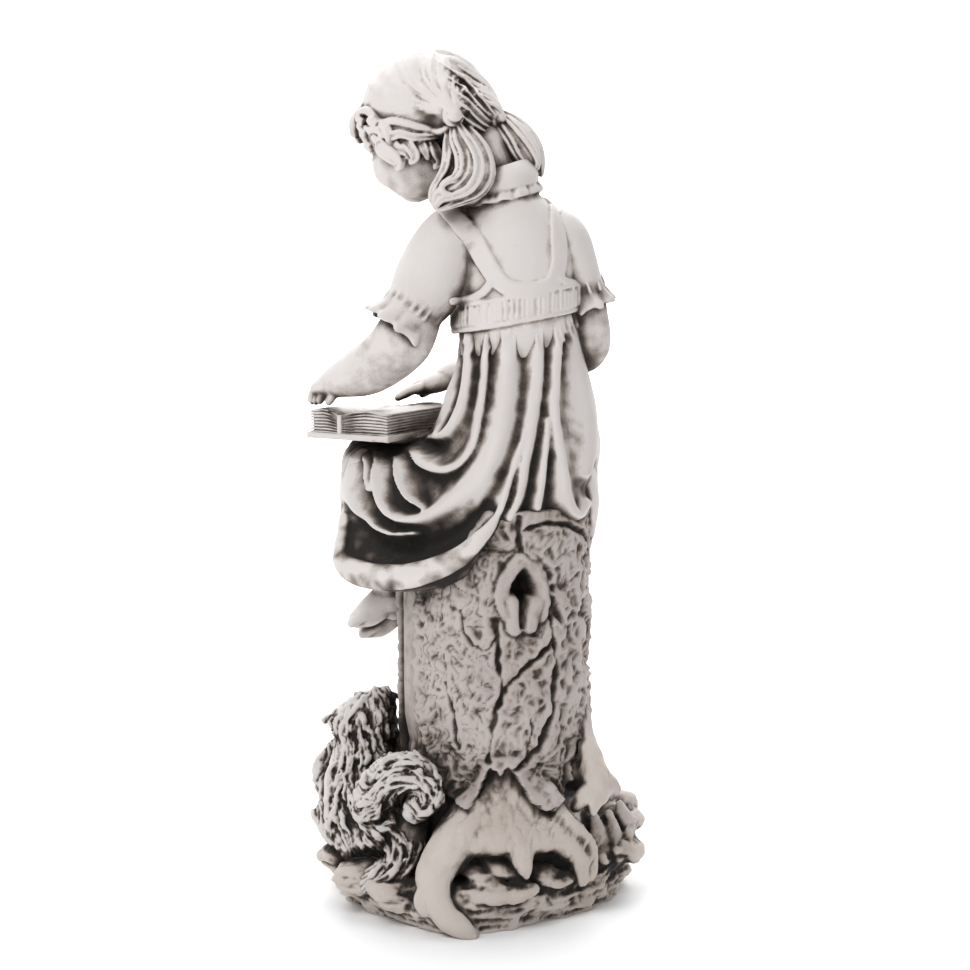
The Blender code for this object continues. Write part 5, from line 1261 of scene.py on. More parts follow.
@dataclass
class Bodice(Carving):
    """The blouse's back with the pinafore's band and straps over it, the neck and the collar."""

    name: str = "bodice_and_collar"
    most: int = 75000
    grain: float = 0.0012
    passes: int = 2
    surface: Surface = Surface.SKIN
    strap_width: float = STRAP_WIDTH
    ribs: int = 78
    bed_grain: float = 0.004
    bed_passes: int = 14

    def body(self) -> Form:
        """Makes the body under the blouse."""
        turn = np.linspace(0, TURN, 96, endpoint=False)
        rings = []
        for z, x, y, wide, deep in smooth(TORSO, 8)[18:]:
            bow = 1 + 0.04 * np.cos(2 * turn)
            rings.append(np.stack([x + np.sin(turn) * wide * bow, y - np.cos(turn) * deep * bow,
                                   turn * 0 + z], 1))
        return skin(rings)

    def band(self) -> list[Form]:
        """Makes the gathered band over the seam, with its fine ribs."""
        band = []
        for share in (0.0, 0.1, 0.15, 0.5, 0.85, 0.9, 1.0):
            ring = []
            for a in np.linspace(0, TURN, 240, endpoint=False):
                grow = 1.06 if 0.1 < share < 0.9 else 1.0
                z = 56.3 + 1.1 * math.sin(a) + 2.4 * share
                ring.append((3.0 + 5.85 * grow * math.sin(a), -1.0 - 4.45 * grow * math.cos(a), z))
            band.append(ring)
        forms = [skin(band)]
        pick = random.Random(5)
        for i in range(self.ribs):
            a = TURN * (i + pick.uniform(-0.15, 0.15)) / self.ribs
            spot = np.array((3.0 + 6.24 * math.sin(a), -1.0 - 4.75 * math.cos(a), 56.9 + 1.1 * math.sin(a)))
            top = spot + (0, 0, pick.uniform(1.2, 1.75))
            forms.append(rod((spot, top), (0.17, 0.14), 0.8, (math.sin(a), -math.cos(a), 0), 8, 3))
        for rise in (0.0, 2.35):
            seam = [
                (3.0 + 6.02 * math.sin(a), -1.0 - 4.58 * math.cos(a), 56.4 + rise + 1.1 * math.sin(a))
                for a in np.linspace(0, TURN, 65)
            ]
            forms.append(rod(seam, [0.24] * len(seam), steps=1, sides=8))
        return forms

    def straps(self, tree: BVHTree) -> list[Form]:
        """Makes the straps, seen as a deep round neckline from behind."""
        wide = self.strap_width / UNIT / 2
        widths = (wide, wide * 1.1, wide * 0.85, wide * 0.8, wide, wide)
        forms = [ridge(STRAPS, widths, tree, 0.34, 0.0, 8, 24, 0.45)]
        for path, radii in (
            (((-3.2, 58.2), (-1.4, 58.3), (-0.2, 58.9), (0.6, 59.8)), (0.45, 0.45, 0.45, 0.45)),
            (((7.0, 60.4), (8.0, 59.8), (9.2, 59.9)), (0.4, 0.45, 0.4)),
        ):
            forms.append(ridge(path, radii, tree, 0.6, 0.15))
        for side in (1, -1):
            front = (
                (3.0 + side * 3.6, 3.3, 58.6), (2.8 + side * 3.4, 3.3, 62.0), (2.6 + side * 3.7, 2.2, 65.2),
                (2.5 + side * 3.8, 0.0, 66.8), (2.5 + side * 3.9, -1.4, 66.6),
            )
            ways = ((0, 1, 0), (0, 1, 0.1), (0, 1, 0.8), (0, 0, 1), (0, -0.3, 1))
            forms.append(rod(front, [wide] * 5, 0.3, ways, 16))
        for i in range(3):
            forms.append(ball((2.2, 3.6, 59.6 + 2.2 * i), (0.4, 0.25, 0.4), detail=3))
        return forms

    def collar(self) -> list[Form]:
        """Makes the round collar with its scalloped edge, and the neck."""
        roll, edge, ways = [], [], []
        for a in np.linspace(0, TURN, 121):
            out = np.array((math.sin(a), -math.cos(a), 0.0))
            tilt = 0.75 * math.sin(a) - 0.2 * math.cos(a)
            roll.append(np.array((1.4, -1.0, 69.7 + tilt)) + out * (2.85, 2.85, 0))
            wave = 0.12 * math.sin(a * 13) + 0.06 * math.sin(a * 29)
            edge.append(np.array((1.3, -1.0, 68.1 + tilt + wave * 0.6)) + out * (3.75 + wave, 3.55 + wave, 0))
            ways.append(unit(out + (0, 0, 0.5)))
        return [
            rod(roll, [1.35] * 121, 0.5, ways, 16, 1),
            rod(edge, [0.45] * 121, 0.6, ways, 10, 1),
            rod(((1.9, -0.8, 65.5), (1.2, -1.0, 69.0), (-0.6, -0.4, 73.0)), (3.0, 2.3, 2.5), sides=24),
        ]

    def forms(self) -> list[Form]:
        """Lays the body, band, straps and collar."""
        body = self.body()
        bed = melted([body, near_sleeve()], self.bed_grain, self.bed_passes)
        return [body] + self.band() + self.straps(bed.tree()) + self.collar()


def frill(centre: Any, axis: Any, radius: float, waves: int, width: float) -> Form:
    """Makes a gathered frill that stands away from an arm.

    Args:
        centre: the middle of its sewn edge.
        axis: the way it opens.
        radius: the arm's radius there.
        waves: how often it goes in and out round the arm.
        width: how far it reaches along the arm.

    Returns:
        The form.
    """
    axis = unit(axis)
    side = unit(np.cross(axis, (0, 1, 0)))
    out = np.cross(side, axis)
    profile = (
        (-0.6, 0.9), (-0.2, 0.99), (0.2, 1.04), (0.6, 1.14), (0.9, 1.24), (1.08, 1.27), (1.16, 1.22),
        (1.1, 1.12), (0.8, 1.0), (0.0, 0.8),
    )
    rings = []
    for along, grow in profile:
        ring = []
        for a in np.linspace(0, TURN, 240, endpoint=False):
            wave = math.sin(a * waves) + 0.35 * math.sin(a * (waves * 2 - 3) + 1)
            r = radius * grow + 0.2 * wave * max(along, 0)
            lift = along * width + 0.12 * wave * max(along, 0)
            ring.append(np.array(centre) + axis * lift + (side * math.cos(a) + out * math.sin(a)) * r)
        rings.append(ring)
    return skin(rings)


def hand(wrist: Any, knuckles: Any, fingers: Any, across: Any, down: Any) -> list[Form]:
    """Makes a small hand: a palm, four fingers that bend and a thumb.

    Args:
        wrist: where the arm ends.
        knuckles: the middle of the knuckles.
        fingers: where the fingertips reach.
        across: the way from the little finger to the first.
        down: the way the palm looks.

    Returns:
        Its forms.
    """
    wrist, knuckles, fingers = np.array(wrist, float), np.array(knuckles, float), np.array(fingers, float)
    across, down = unit(across), np.array(down, float)
    forms = [rod((wrist, (wrist + knuckles) / 2, knuckles), (1.35, 1.5, 1.25), 0.72, unit(-down), 18)]
    for i in range(4):
        shift = across * (i - 1.5) * 0.66
        far = (fingers - knuckles) * (1 - 0.09 * abs(i - 1.4))
        line = (knuckles + shift, knuckles + shift * 1.05 + far * 0.55 - down * 0.12,
                knuckles + shift * 1.05 + far)
        forms.append(rod(line, (0.52, 0.48, 0.4), 1, None, 12))
    thumb = knuckles * 0.45 + wrist * 0.55 + across * 1.2
    reach = fingers - knuckles
    line = (thumb - across * 0.5, thumb + reach * 0.35 + across * 0.2 + down * 0.3,
            thumb + reach * 0.75 + down * 0.5)
    return forms + [rod(line, (0.56, 0.5, 0.4), 1, None, 12)]


@dataclass
class Arm(Carving):
    """A puffed sleeve with its frill, a bare forearm and a hand on the book."""

    name: str = "arm"
    grain: float = 0.0013
    passes: int = 3
    surface: Surface = Surface.SKIN
    frill_width: float = 0.016
    near: bool = True

    def sleeve_creases(self, start: Any, end: Any, radius: float, count: int) -> list[Form]:
        """Makes short creases over a frill, along the sleeve."""
        start, end = np.array(start, float), np.array(end, float)
        axis = unit(end - start)
        side = unit(np.cross(axis, (0, 1, 0)))
        out = np.cross(side, axis)
        pick = random.Random(count)
        forms = []
        for i in range(count):
            a = TURN * i / count + pick.uniform(-0.15, 0.15)
            way = side * math.cos(a) + out * math.sin(a)
            top = start + (end - start) * pick.uniform(0.1, 0.4)
            crease = (top + way * radius * 0.98, end + way * radius * 0.97)
            forms.append(rod(crease, (0.1, 0.22), 0.8, way, 8, 3))
        return forms

    def shade_and_stains(self, points: Array, ways: Array) -> Array:
        """Adds painted shade on the bare arm, as under a light from above, and on the far arm's faces that
        look right.
        """
        # Painted shade on the forearm, and on the right-facing side of the far arm
        bare = np.clip((58 if self.near else 60.5) - points[:, 2], 0, 2) * 0.07
        side = 0 if self.near else 0.12 * limited(ways[:, 0])
        return super().shade_and_stains(points, ways) + bare + side

    def forms(self) -> list[Form]:
        """Lays the sleeve, the arm and the hand."""
        return self.left_arm() if self.near else self.right_arm()

    def left_arm(self) -> list[Form]:
        """Lays the girl's left arm, next to the viewer."""
        arm = ((-6.6, -2.8, 57.0), (-7.7, -3.2, 54.7), (-9.4, -2.2, 52.9), (-11.6, -0.6, 51.5),
               (-13.9, 1.1, 50.5), (-14.8, 1.7, 50.1))
        forms = [
            near_sleeve(),
            frill((-7.2, -3.0, 56.8), (-0.62, -0.1, -0.78), 2.85, 11, self.frill_width / UNIT),
            rod(arm, (2.6, 2.85, 2.65, 2.45, 1.75, 1.45), sides=28),
        ]
        forms += self.sleeve_creases((-6.0, -2.4, 58.4), (-7.2, -2.95, 56.9), 2.95, 20)
        return forms + hand((-14.4, 1.5, 50.2), (-15.8, 2.4, 49.7), (-16.7, 3.0, 48.2), (0.5, -0.86, 0),
                            (-0.1, 0, -1))

    def right_arm(self) -> list[Form]:
        """Lays the girl's right arm, which reaches round her front."""
        arm = (
            (9.3, 0.0, 59.6), (9.7, 0.2, 56.4), (9.9, 0.8, 53.9), (8.6, 4.2, 52.8),
            (3.4, 8.0, 51.6), (-2.6, 8.8, 50.4), (-3.6, 8.8, 50.2),
        )
        sleeve = ((5.6, -0.4, 65.2), (7.3, -0.3, 63.8), (8.4, -0.1, 60.8), (9.1, 0.1, 59.2))
        forms = [
            rod(sleeve, (2.3, 2.7, 2.55, 2.3), sides=32),
            frill((9.0, 0.1, 59.2), (0.3, 0.1, -0.93), 2.4, 10, self.frill_width / UNIT),
            rod(arm, (2.0, 2.15, 2.15, 2.1, 1.85, 1.5, 1.4), sides=28),
        ]
        forms += self.sleeve_creases((9.3, 0.0, 60.4), (9.7, 0.1, 59.1), 2.5, 18)
        return forms + hand((-3.4, 8.8, 50.1), (-6.2, 8.3, 49.3), (-8.7, 7.5, 48.2), (0.2, 1, 0), (0, 0, -1))


@dataclass
class Book(Carving):
    """The thick open book, with grooved page edges."""

    name: str = "open_book"
    surface: Surface = Surface.PAPER
    corner: tuple[float, float, float] = (-9.3, -2.1, 44.7)
    lap_way: tuple[float, float, float] = (-0.866, 0.5, 0.0)
    side_way: tuple[float, float, float] = (0.5, 0.866, 0.0)
    gutter: float = 0.6
    inset: float = 0.3
    leaves: int = 8
    slices: int = 48

    def prism(self, outline: Any, start: float, end: float, round_edge: float = 0.06) -> Form:
        """Stretches an outline of length and height across the book, with softened edges."""
        way, side, up = np.array(self.lap_way), np.array(self.side_way), np.array((0.0, 0.0, 1.0))
        outline = np.asarray(outline, float)
        middle = outline.mean(0)
        spots = [start, start + round_edge * 0.4, start + round_edge]
        spots += list(np.linspace(start + 2 * round_edge, end - 2 * round_edge, self.slices))
        spots += [end - round_edge, end - round_edge * 0.4, end]
        rings = []
        for place in spots:
            near = min(place - start, end - place)
            shrink = round_edge * (1 - math.sqrt(min(near / round_edge, 1)))
            inward = middle - outline
            inward = np.sign(inward) * np.minimum(np.abs(inward), shrink)
            ring = outline + inward
            rings.append(np.array(self.corner) + np.outer(ring[:, 0], way) + np.outer(ring[:, 1], up)
                         + side * place)
        return skin(rings)

    def block(self, low: float, high: float, thick: float, bottom: float, dip: int) -> list[Form]:
        """Makes a block of leaves between two places along the book.

        Args:
            low: where it starts.
            high: where it ends.
            thick: the height of its top.
            bottom: the height of its underside.
            dip: -1 if it dips at its start, 1 if it dips at its end.

        Returns:
            The leaves in bundles, and the core behind their edges.
        """
        pick = random.Random(9 + dip)
        wide = BOOK_WIDTH / UNIT
        step = 1.0 / self.leaves

        def line(share: float, short: float = 0.0) -> list[tuple[float, float]]:
            places = []
            for s in np.linspace(0, 1, 25):
                near = 1 - s if dip < 0 else s
                top = thick - 0.85 * near**3 - 0.35 * (1 - near) ** 5
                spot = low + short + (high - low - 2 * short) * s
                places.append((spot, bottom + (top - bottom) * share))
            return places

        forms = []
        for i in range(self.leaves):
            shrink = self.inset + pick.uniform(-0.04, 0.08)
            share = (i + 0.62 + pick.uniform(-0.06, 0.06)) * step
            forms.append(self.prism(line(i * step) + line(share)[::-1], shrink, wide - shrink))
        core = line(0.02, 0.2) + line(1 - 0.4 * step, 0.2)[::-1]
        return forms + [self.prism(core, self.inset + 0.26, wide - self.inset - 0.26)]

    def forms(self) -> list[Form]:
        """Lays the cover, both blocks of leaves and the strip where they meet."""
        sizes = (BOOK_LENGTH, BOOK_WIDTH, BOOK_THICKNESS, BOOK_COVER)
        long, wide, thick, cover = (size / UNIT for size in sizes)
        gutter = long * self.gutter
        along = np.linspace(0, long, 40)
        board = [(a, 0.0) for a in along] + [(a, cover) for a in along[::-1]]
        strip = ((gutter - 0.24, 0.2), (gutter + 0.24, 0.2), (gutter + 0.24, thick - 0.75),
                 (gutter - 0.24, thick - 0.75))
        forms = [self.prism(board, 0.0, wide, 0.14),
                 self.prism(strip, self.inset - 0.2, wide - self.inset + 0.2)]
        forms += self.block(self.inset, gutter - 0.05, thick, cover * 0.9, 1)
        forms += self.block(gutter + 0.05, long - self.inset, thick, cover * 0.9, -1)
        return forms

    def build(self) -> bpy.types.Object:
        """Builds the book from its leaves as they are, so that their edges stay crisp."""
        book = joined(self.forms())
        book.points += (0.03 * noise(book.points, 0.6, 91))[:, None] * (0.3, 0.3, 1)
        made = cast(self.name, book)
        thin_out(made, self.most)
        make_active(made)
        bpy.ops.object.shade_smooth_by_angle(angle=math.radians(50))
        return made


# Head

# Where the head is and how it is turned and bowed
HEAD_MIDDLE = np.array((-6.2, 1.6, 74.8))
HEAD_SCALE = 0.95
HEAD_TURN = unit((-0.74, 0.67, 0.0))
HEAD_BOW = math.radians(35)
FACE_WAY = HEAD_TURN * math.cos(HEAD_BOW) - np.array((0, 0, math.sin(HEAD_BOW)))
CROWN_WAY = HEAD_TURN * math.sin(HEAD_BOW) + np.array((0, 0, math.cos(HEAD_BOW)))
LEFT_WAY = np.cross(CROWN_WAY, FACE_WAY)
HEAD_AXES = np.array((LEFT_WAY, FACE_WAY, CROWN_WAY))
HAIR_MIDDLE = np.array((0.0, -0.9, 1.3))
TIE = np.array((3.0, -6.3, -3.7))
FALL = np.array((0.0, math.sin(HEAD_BOW), -math.cos(HEAD_BOW)))

# The locks of the bunches: how far back each lies, its path as the viewer sees it, and its radii
NEAR_TAIL = (
    (-5.2, ((-2.7, 75.0), (-1.4, 73.8), (-0.4, 72.2), (0.0, 70.3), (-0.7, 68.8), (-2.0, 68.0), (-3.3, 67.4),
            (-4.3, 66.9)),
     (0.5, 0.75, 0.95, 1.0, 0.9, 0.7, 0.5, 0.3)),
    (-6.1, ((-2.8, 74.9), (-2.0, 73.5), (-1.1, 71.9), (-0.9, 70.3), (-1.7, 68.9), (-2.9, 68.3), (-4.1, 67.9),
            (-4.7, 67.2)),
     (0.5, 0.8, 0.95, 1.0, 0.85, 0.65, 0.5, 0.3)),
    (-6.0, ((-2.9, 74.9), (-2.7, 73.3), (-2.1, 71.9), (-2.1, 70.3), (-2.9, 69.3), (-3.8, 68.7), (-4.5, 68.2),
            (-4.9, 67.3)),
     (0.5, 0.8, 0.95, 0.9, 0.75, 0.6, 0.5, 0.3)),
    (-5.3, ((-3.1, 74.9), (-3.3, 73.3), (-3.3, 71.9), (-3.6, 70.5), (-4.2, 69.5), (-4.7, 68.7), (-4.9, 67.8),
            (-4.6, 66.9)),
     (0.5, 0.7, 0.8, 0.75, 0.65, 0.6, 0.5, 0.3)),
    (-4.2, ((-2.7, 75.0), (-1.0, 73.3), (-0.1, 71.5), (0.1, 69.8), (-0.5, 68.5), (-1.4, 67.8), (-2.3, 67.6)),
     (0.5, 0.8, 0.9, 0.9, 0.8, 0.6, 0.35)),
    (-6.6, ((-2.6, 72.4), (-2.3, 71.0), (-2.8, 69.8), (-3.5, 69.5), (-4.1, 69.0), (-3.9, 68.4), (-3.1, 68.2)),
     (0.3, 0.5, 0.5, 0.4, 0.35, 0.3, 0.2)),
)
FAR_TAIL = (
    (-0.4, ((0.8, 75.9), (2.2, 75.2), (3.5, 74.1), (4.5, 72.8), (5.0, 71.5), (5.3, 70.1)),
     (0.5, 0.8, 0.95, 0.9, 0.75, 0.35)),
    (-1.3, ((0.8, 75.8), (1.9, 74.8), (3.0, 73.5), (4.0, 72.2), (4.6, 71.1), (4.3, 70.3)),
     (0.5, 0.85, 1.0, 0.95, 0.75, 0.35)),
    (-1.5, ((0.7, 75.7), (1.5, 74.5), (2.4, 73.2), (3.1, 71.9), (3.7, 71.0), (3.2, 70.4)),
     (0.5, 0.8, 0.95, 0.85, 0.7, 0.35)),
    (-1.1, ((0.6, 75.6), (1.1, 74.3), (1.7, 72.9), (2.3, 71.9), (2.8, 71.0), (2.7, 70.4)),
     (0.5, 0.7, 0.8, 0.75, 0.6, 0.3)),
    (0.2, ((0.8, 75.8), (2.3, 74.8), (3.4, 73.3), (4.3, 71.9), (4.8, 70.7)),
     (0.5, 0.9, 1.0, 0.8, 0.4)),
)
# Curls as the viewer sees them on the side of the head: x and z of the middle, size, and turn
SNAILS = (
    (-12.2, 75.4, 0.62, 1),
    (-12.5, 74.3, 0.6, -1),
    (-11.5, 74.0, 0.68, 1),
    (-11.9, 73.0, 0.55, -1),
    (-10.8, 72.7, 0.6, 1),
    (-10.5, 74.9, 0.7, -1),
    (-10.0, 73.8, 0.85, 1),
    (-12.8, 73.3, 0.45, 1),
    (-11.6, 75.0, 0.5, 1),
    (-9.2, 74.3, 0.6, -1),
)
# Waves of hair round the curls as the viewer sees them, with their radii
WAVES = (
    (((-9.7, 74.6), (-8.8, 74.0), (-7.9, 74.2), (-6.6, 73.9), (-4.6, 73.9)), (0.5, 0.65, 0.6, 0.55, 0.35)),
    (((-7.1, 73.3), (-6.2, 73.0), (-5.2, 73.3), (-4.3, 73.0)), (0.45, 0.6, 0.5, 0.3)),
    (((-9.6, 73.7), (-9.3, 72.6), (-8.5, 71.9), (-8.0, 71.2), (-8.3, 70.8)), (0.6, 0.95, 0.9, 0.6, 0.3)),
    (((-8.6, 73.6), (-8.2, 72.7), (-7.4, 72.2), (-7.2, 71.7)), (0.5, 0.65, 0.55, 0.3)),
    (((-7.8, 73.3), (-7.1, 72.7), (-6.6, 71.8), (-7.0, 71.3)), (0.5, 0.75, 0.65, 0.3)),
    (((-6.3, 73.3), (-5.8, 72.5), (-5.5, 71.7)), (0.45, 0.6, 0.3)),
    (((-5.2, 73.4), (-4.9, 72.3), (-4.5, 71.5), (-4.8, 70.9)), (0.5, 0.75, 0.6, 0.3)),
)
# The hair that is combed from the parting to the far tie, as the viewer sees it
COMBED = (
    ((-4.4, 80.6), (-2.2, 78.9), (-0.5, 77.0), (0.8, 75.6)),
    ((-3.9, 79.5), (-2.1, 77.8), (-0.8, 76.3), (0.6, 75.2)),
    ((-3.3, 78.2), (-2.1, 77.0), (-0.9, 75.8), (0.4, 74.8)),
    ((-2.8, 77.0), (-1.9, 76.1), (-0.9, 75.1), (0.2, 74.5)),
    ((-2.6, 75.9), (-1.8, 75.1), (-0.9, 74.5), (-0.1, 74.1)),
    ((-2.7, 74.9), (-2.1, 74.3), (-1.4, 73.9), (-0.7, 73.7)),
)
HAIR_EDGE = ((-12.6, 76.6), (-11.9, 75.9), (-11.0, 76.1), (-9.8, 75.0), (-8.4, 75.1), (-6.3, 74.6),
             (-4.3, 74.2), (-3.2, 74.7))


def on_head(points: Any) -> Array:
    """Sets points given as left, forward and up of the head's middle in the drawing."""
    return np.asarray(points, float) * HEAD_SCALE @ HEAD_AXES + HEAD_MIDDLE


def head_ball(centre: Any, radii: Any) -> Form:
    """Makes an ellipsoid in the head's own directions."""
    return ball(on_head(centre), np.array(radii) * HEAD_SCALE, HEAD_AXES)


def head_rod(points: Any, radii: Any, flat: float = 1.0, facing: Any = None, sides: int = 12) -> Form:
    """Makes a rod in the head's own directions."""
    if facing is not None:
        facing = np.asarray(facing, float) @ HEAD_AXES
    return rod(on_head(points), np.array(radii) * HEAD_SCALE, flat, facing, sides)


@dataclass
class Face(Carving):
    """The bowed face: a calm child's of the maker's own, with lowered eyes."""

    name: str = "face"
    most: int = 40000
    grain: float = 0.0011
    passes: int = 3
    surface: Surface = Surface.SKIN
    flesh_grain: float = 0.002
    flesh_passes: int = 10

    def flesh(self) -> list[Form]:
        """Makes the skull, jaw, cheeks and brow that melt into one another."""
        forms = [
            head_ball((0, 0.0, 0.6), (5.5, 5.9, 5.7)),
            head_ball((0, 1.8, -2.3), (4.6, 4.6, 4.5)),
            head_ball((0, 4.2, -4.7), (1.9, 1.5, 1.5)),
            head_rod(((0, 5.4, 0.8), (0, 6.0, -0.8), (0, 6.6, -1.9)), (0.5, 0.6, 0.72)),
            head_ball((0, 5.35, -3.7), (1.3, 0.9, 1.0)),
        ]
        for side in (1, -1):
            forms.append(head_ball((side * 2.2, 3.6, -2.6), (2.3, 2.1, 2.3)))
            forms.append(head_rod(((side * 0.7, 5.2, 0.9), (side * 2.2, 5.0, 1.2), (side * 3.6, 3.9, 0.8)),
                                  (0.7, 0.8, 0.6)))
        return forms

    def features(self) -> list[Form]:
        """Makes the lids, nostrils, lips and ears."""
        forms = [
            head_rod(((-0.9, 5.9, -3.55), (-0.3, 6.32, -3.42), (0, 6.34, -3.5), (0.3, 6.32, -3.42),
                      (0.9, 5.9, -3.55)), (0.12, 0.24, 0.22, 0.24, 0.12)),
            head_rod(((-0.75, 5.85, -3.85), (0, 6.22, -4.0), (0.75, 5.85, -3.85)), (0.12, 0.3, 0.12)),
        ]
        for side in (1, -1):
            forms.append(head_ball((side * 2.0, 4.95, -0.75), (1.05, 0.75, 0.72)))
            lid = ((side * 1.0, 5.45, -1.0), (side * 2.05, 5.72, -1.35), (side * 3.0, 4.95, -0.95))
            forms.append(head_rod(lid, (0.1, 0.17, 0.1)))
            brow = ((side * 0.9, 5.75, 0.7), (side * 2.2, 5.6, 1.1), (side * 3.4, 4.7, 0.7))
            forms.append(head_rod(brow, (0.12, 0.2, 0.1)))
            forms.append(head_ball((side * 0.55, 6.15, -2.1), (0.34, 0.36, 0.3)))
            ear = ((side * 5.1, 0.4, 0.0), (side * 5.7, -0.2, -0.4), (side * 5.75, -0.3, -1.4),
                   (side * 5.1, 0.5, -2.3))
            forms.append(head_rod(ear, (0.4, 0.5, 0.45, 0.4)))
        return forms

    def forms(self) -> list[Form]:
        """Lays the features on the melted flesh."""
        return [melted(self.flesh(), self.flesh_grain, self.flesh_passes)] + self.features()


@dataclass
class Hair(Carving):
    """Hair parted along the middle, with two bunches, and curls round the face."""

    name: str = "hair"
    most: int = 160000
    grain: float = 0.001
    passes: int = 1
    surface: Surface = Surface.HAIR
    locks_a_side: int = 9
    strands_a_side: int = 30
    fringe_curls: int = 9
    cap_grain: float = 0.0025
    lock_grain: float = 0.0018
    bunch_grain: float = 0.0014

    def swept(self, tree: BVHTree, directions: Any, radii: Sequence[float], lift: float, flat: float) -> Form:
        """Lays a lock on the hair, along directions from the hair's middle."""
        spots, ways = [], []
        middle = on_head(HAIR_MIDDLE)
        for direction in smooth(directions, 6):
            way = unit(direction @ HEAD_AXES)
            hit, _, _, _ = tree.ray_cast(Vector(middle + way * 14), Vector(-way))
            spots.append(np.array(hit) + way * lift)
            ways.append(way)
        return rod(spots, spread(radii, len(spots)), flat, ways, 8, 1)

    def parted(self, tree: BVHTree, count: int, radii: Any, lift: float, flat: float,
               seed: int) -> list[Form]:
        """Sweeps locks from the parting to the tie on either side.

        Args:
            tree: what the locks lie on.
            count: how many there are on a side.
            radii: a lock's radius from end to end.
            lift: how far over the hair it lies.
            flat: how far it is squeezed.
            seed: picks how the locks wander.

        Returns:
            The locks, which lie deeper towards the forehead.
        """
        pick = random.Random(seed)
        forms = []
        for side in (1, -1):
            tie = (TIE - HAIR_MIDDLE) * (side, 1, 1)
            for i in range(count):
                share = i / (count - 1)
                angle = math.radians(-50 + 165 * share + pick.uniform(-3, 3))
                start = np.array((side * 0.45, -math.sin(angle) * 6, math.cos(angle) * 6))
                aim = tie + np.array((0.0, 0.6, 0.9)) * (1 - share)
                bulge = (start + aim) / 2 + np.array((side * 2.6, 0, 0)) * (1.2 - share)
                bulge = bulge + pick.uniform(-0.25, 0.25)
                sunk = 0.14 * (1 - share) * pick.uniform(0.8, 1.3) if side > 0 else 0.0
                size = np.array(radii) * pick.uniform(0.75, 1.2) * (0.45 + 0.55 * share if side > 0 else 1)
                forms.append(self.swept(tree, (start, bulge, aim), size, lift - sunk, flat))
        return forms

    def bunches(self) -> list[Form]:
        """Makes the two bunches of hair with their ties."""
        forms = []
        for tail, facing in ((NEAR_TAIL, (-0.1, -1, 0.2)), (FAR_TAIL, (0.3, -1, 0.3))):
            locks, strands = [], []
            for number, (depth, path, radii) in enumerate(tail):
                bulge = np.sin(np.linspace(0, math.pi, len(path))) * 0.5
                nearer = (VIEWER[1] - depth) / VIEWER[1]
                line = [
                    (x * nearer, depth + 1.4 * (1 - i / (len(path) - 1)) - bulge[i],
                     VIEWER[2] + (z - VIEWER[2]) * nearer)
                    for i, (x, z) in enumerate(path)
                ]
                locks.append(rod(line, np.array(radii) * 0.92, 0.9, facing))
                strands += combed(line, np.array(radii) * 0.9, facing, 5, 0.27, number + 3)
            forms += [melted(locks, self.bunch_grain, 3)] + strands
        for side in (1, -1):
            knot = on_head(TIE * (side, 1, 1))
            away = unit(on_head(TIE * (side, 1, 1) * 1.3) - knot)
            across = unit(np.cross(away, (0.2, 0.1, 1)))
            up = np.cross(across, away)
            turns = np.linspace(0, TURN, 25)
            ring = [knot + away * 0.1 + (across * math.cos(a) + up * math.sin(a)) * 0.78 for a in turns]
            forms.append(rod(ring, [0.3] * len(ring), sides=10, steps=1))
            forms.append(rod((knot - away * 0.8, knot + away * 0.5), (0.8, 0.72), sides=16))
        return forms

    def snail(self, tree: BVHTree, x: float, z: float, size: float, turn: int) -> tuple[Any, Any]:
        """Gives the path and radii of a curl that rolls in on itself."""
        path = []
        for step in range(8):
            angle = math.radians(150 - 42 * step) * turn
            r = size * (0.85 - 0.06 * step)
            path.append((x + math.cos(angle) * r, z + math.sin(angle) * r))
        spots, _ = seen(path, tree, 0.3, 1)
        spots += np.outer(np.linspace(0.0, 1, len(spots)), (-0.1, -0.3, 0.1))
        return spots, np.interp(np.linspace(0, 1, len(spots)), (0, 0.2, 0.7, 1),
                                (0.25, 0.42, 0.38, 0.18)) * (size / 0.65)

    def curls(self, tree: BVHTree) -> list[Form]:
        """Makes the curls on the viewer's side of the head, and the same on its far side."""
        lines = [self.snail(tree, *snail) for snail in SNAILS]
        combs = []
        for number, (path, radii) in enumerate(WAVES):
            spots, ways = seen(path, tree, 0.25, 4)
            size = spread(radii, len(spots)) * 0.9
            lines.append((spots, size))
            combs += combed(spots[::2], size[::2], ways.mean(0), 4, 0.3, number)
        filled = [ball(spots[3:].mean(0) + (0, 0.25, 0), size * 0.75, detail=3)
                  for (_, _, size, _), (spots, _) in zip(SNAILS, lines)]
        edge, _ = seen(HAIR_EDGE, tree, 0.1, 5)
        lines.append((edge, spread((0.3, 0.45, 0.45, 0.4, 0.35), len(edge))))
        forms = [rod(spots, radii, 0.9, None, 10, 1) for spots, radii in lines] + combs + filled
        return forms + [self.mirrored(form) for form in forms] + self.combed_over(tree)

    def combed_over(self, tree: BVHTree) -> list[Form]:
        """Makes the locks that run from the parting to the far tie."""
        forms = []
        for number, path in enumerate(COMBED):
            spots, ways = seen(path, tree, 0.0, 4)
            size = spread((0.15, 0.5, 0.5, 0.3), len(spots))
            forms.append(rod(spots, size, 0.8, None, 10, 1))
            forms += combed(spots, size, ways.mean(0), 3, 0.34, number)
        return forms

    def mirrored(self, form: Form) -> Form:
        """Makes the same form on the other side of the head."""
        away = (form.points - HEAD_MIDDLE) @ LEFT_WAY
        points = form.points - 2 * np.outer(away, LEFT_WAY)
        return Form(points, [face[::-1] for face in form.faces])

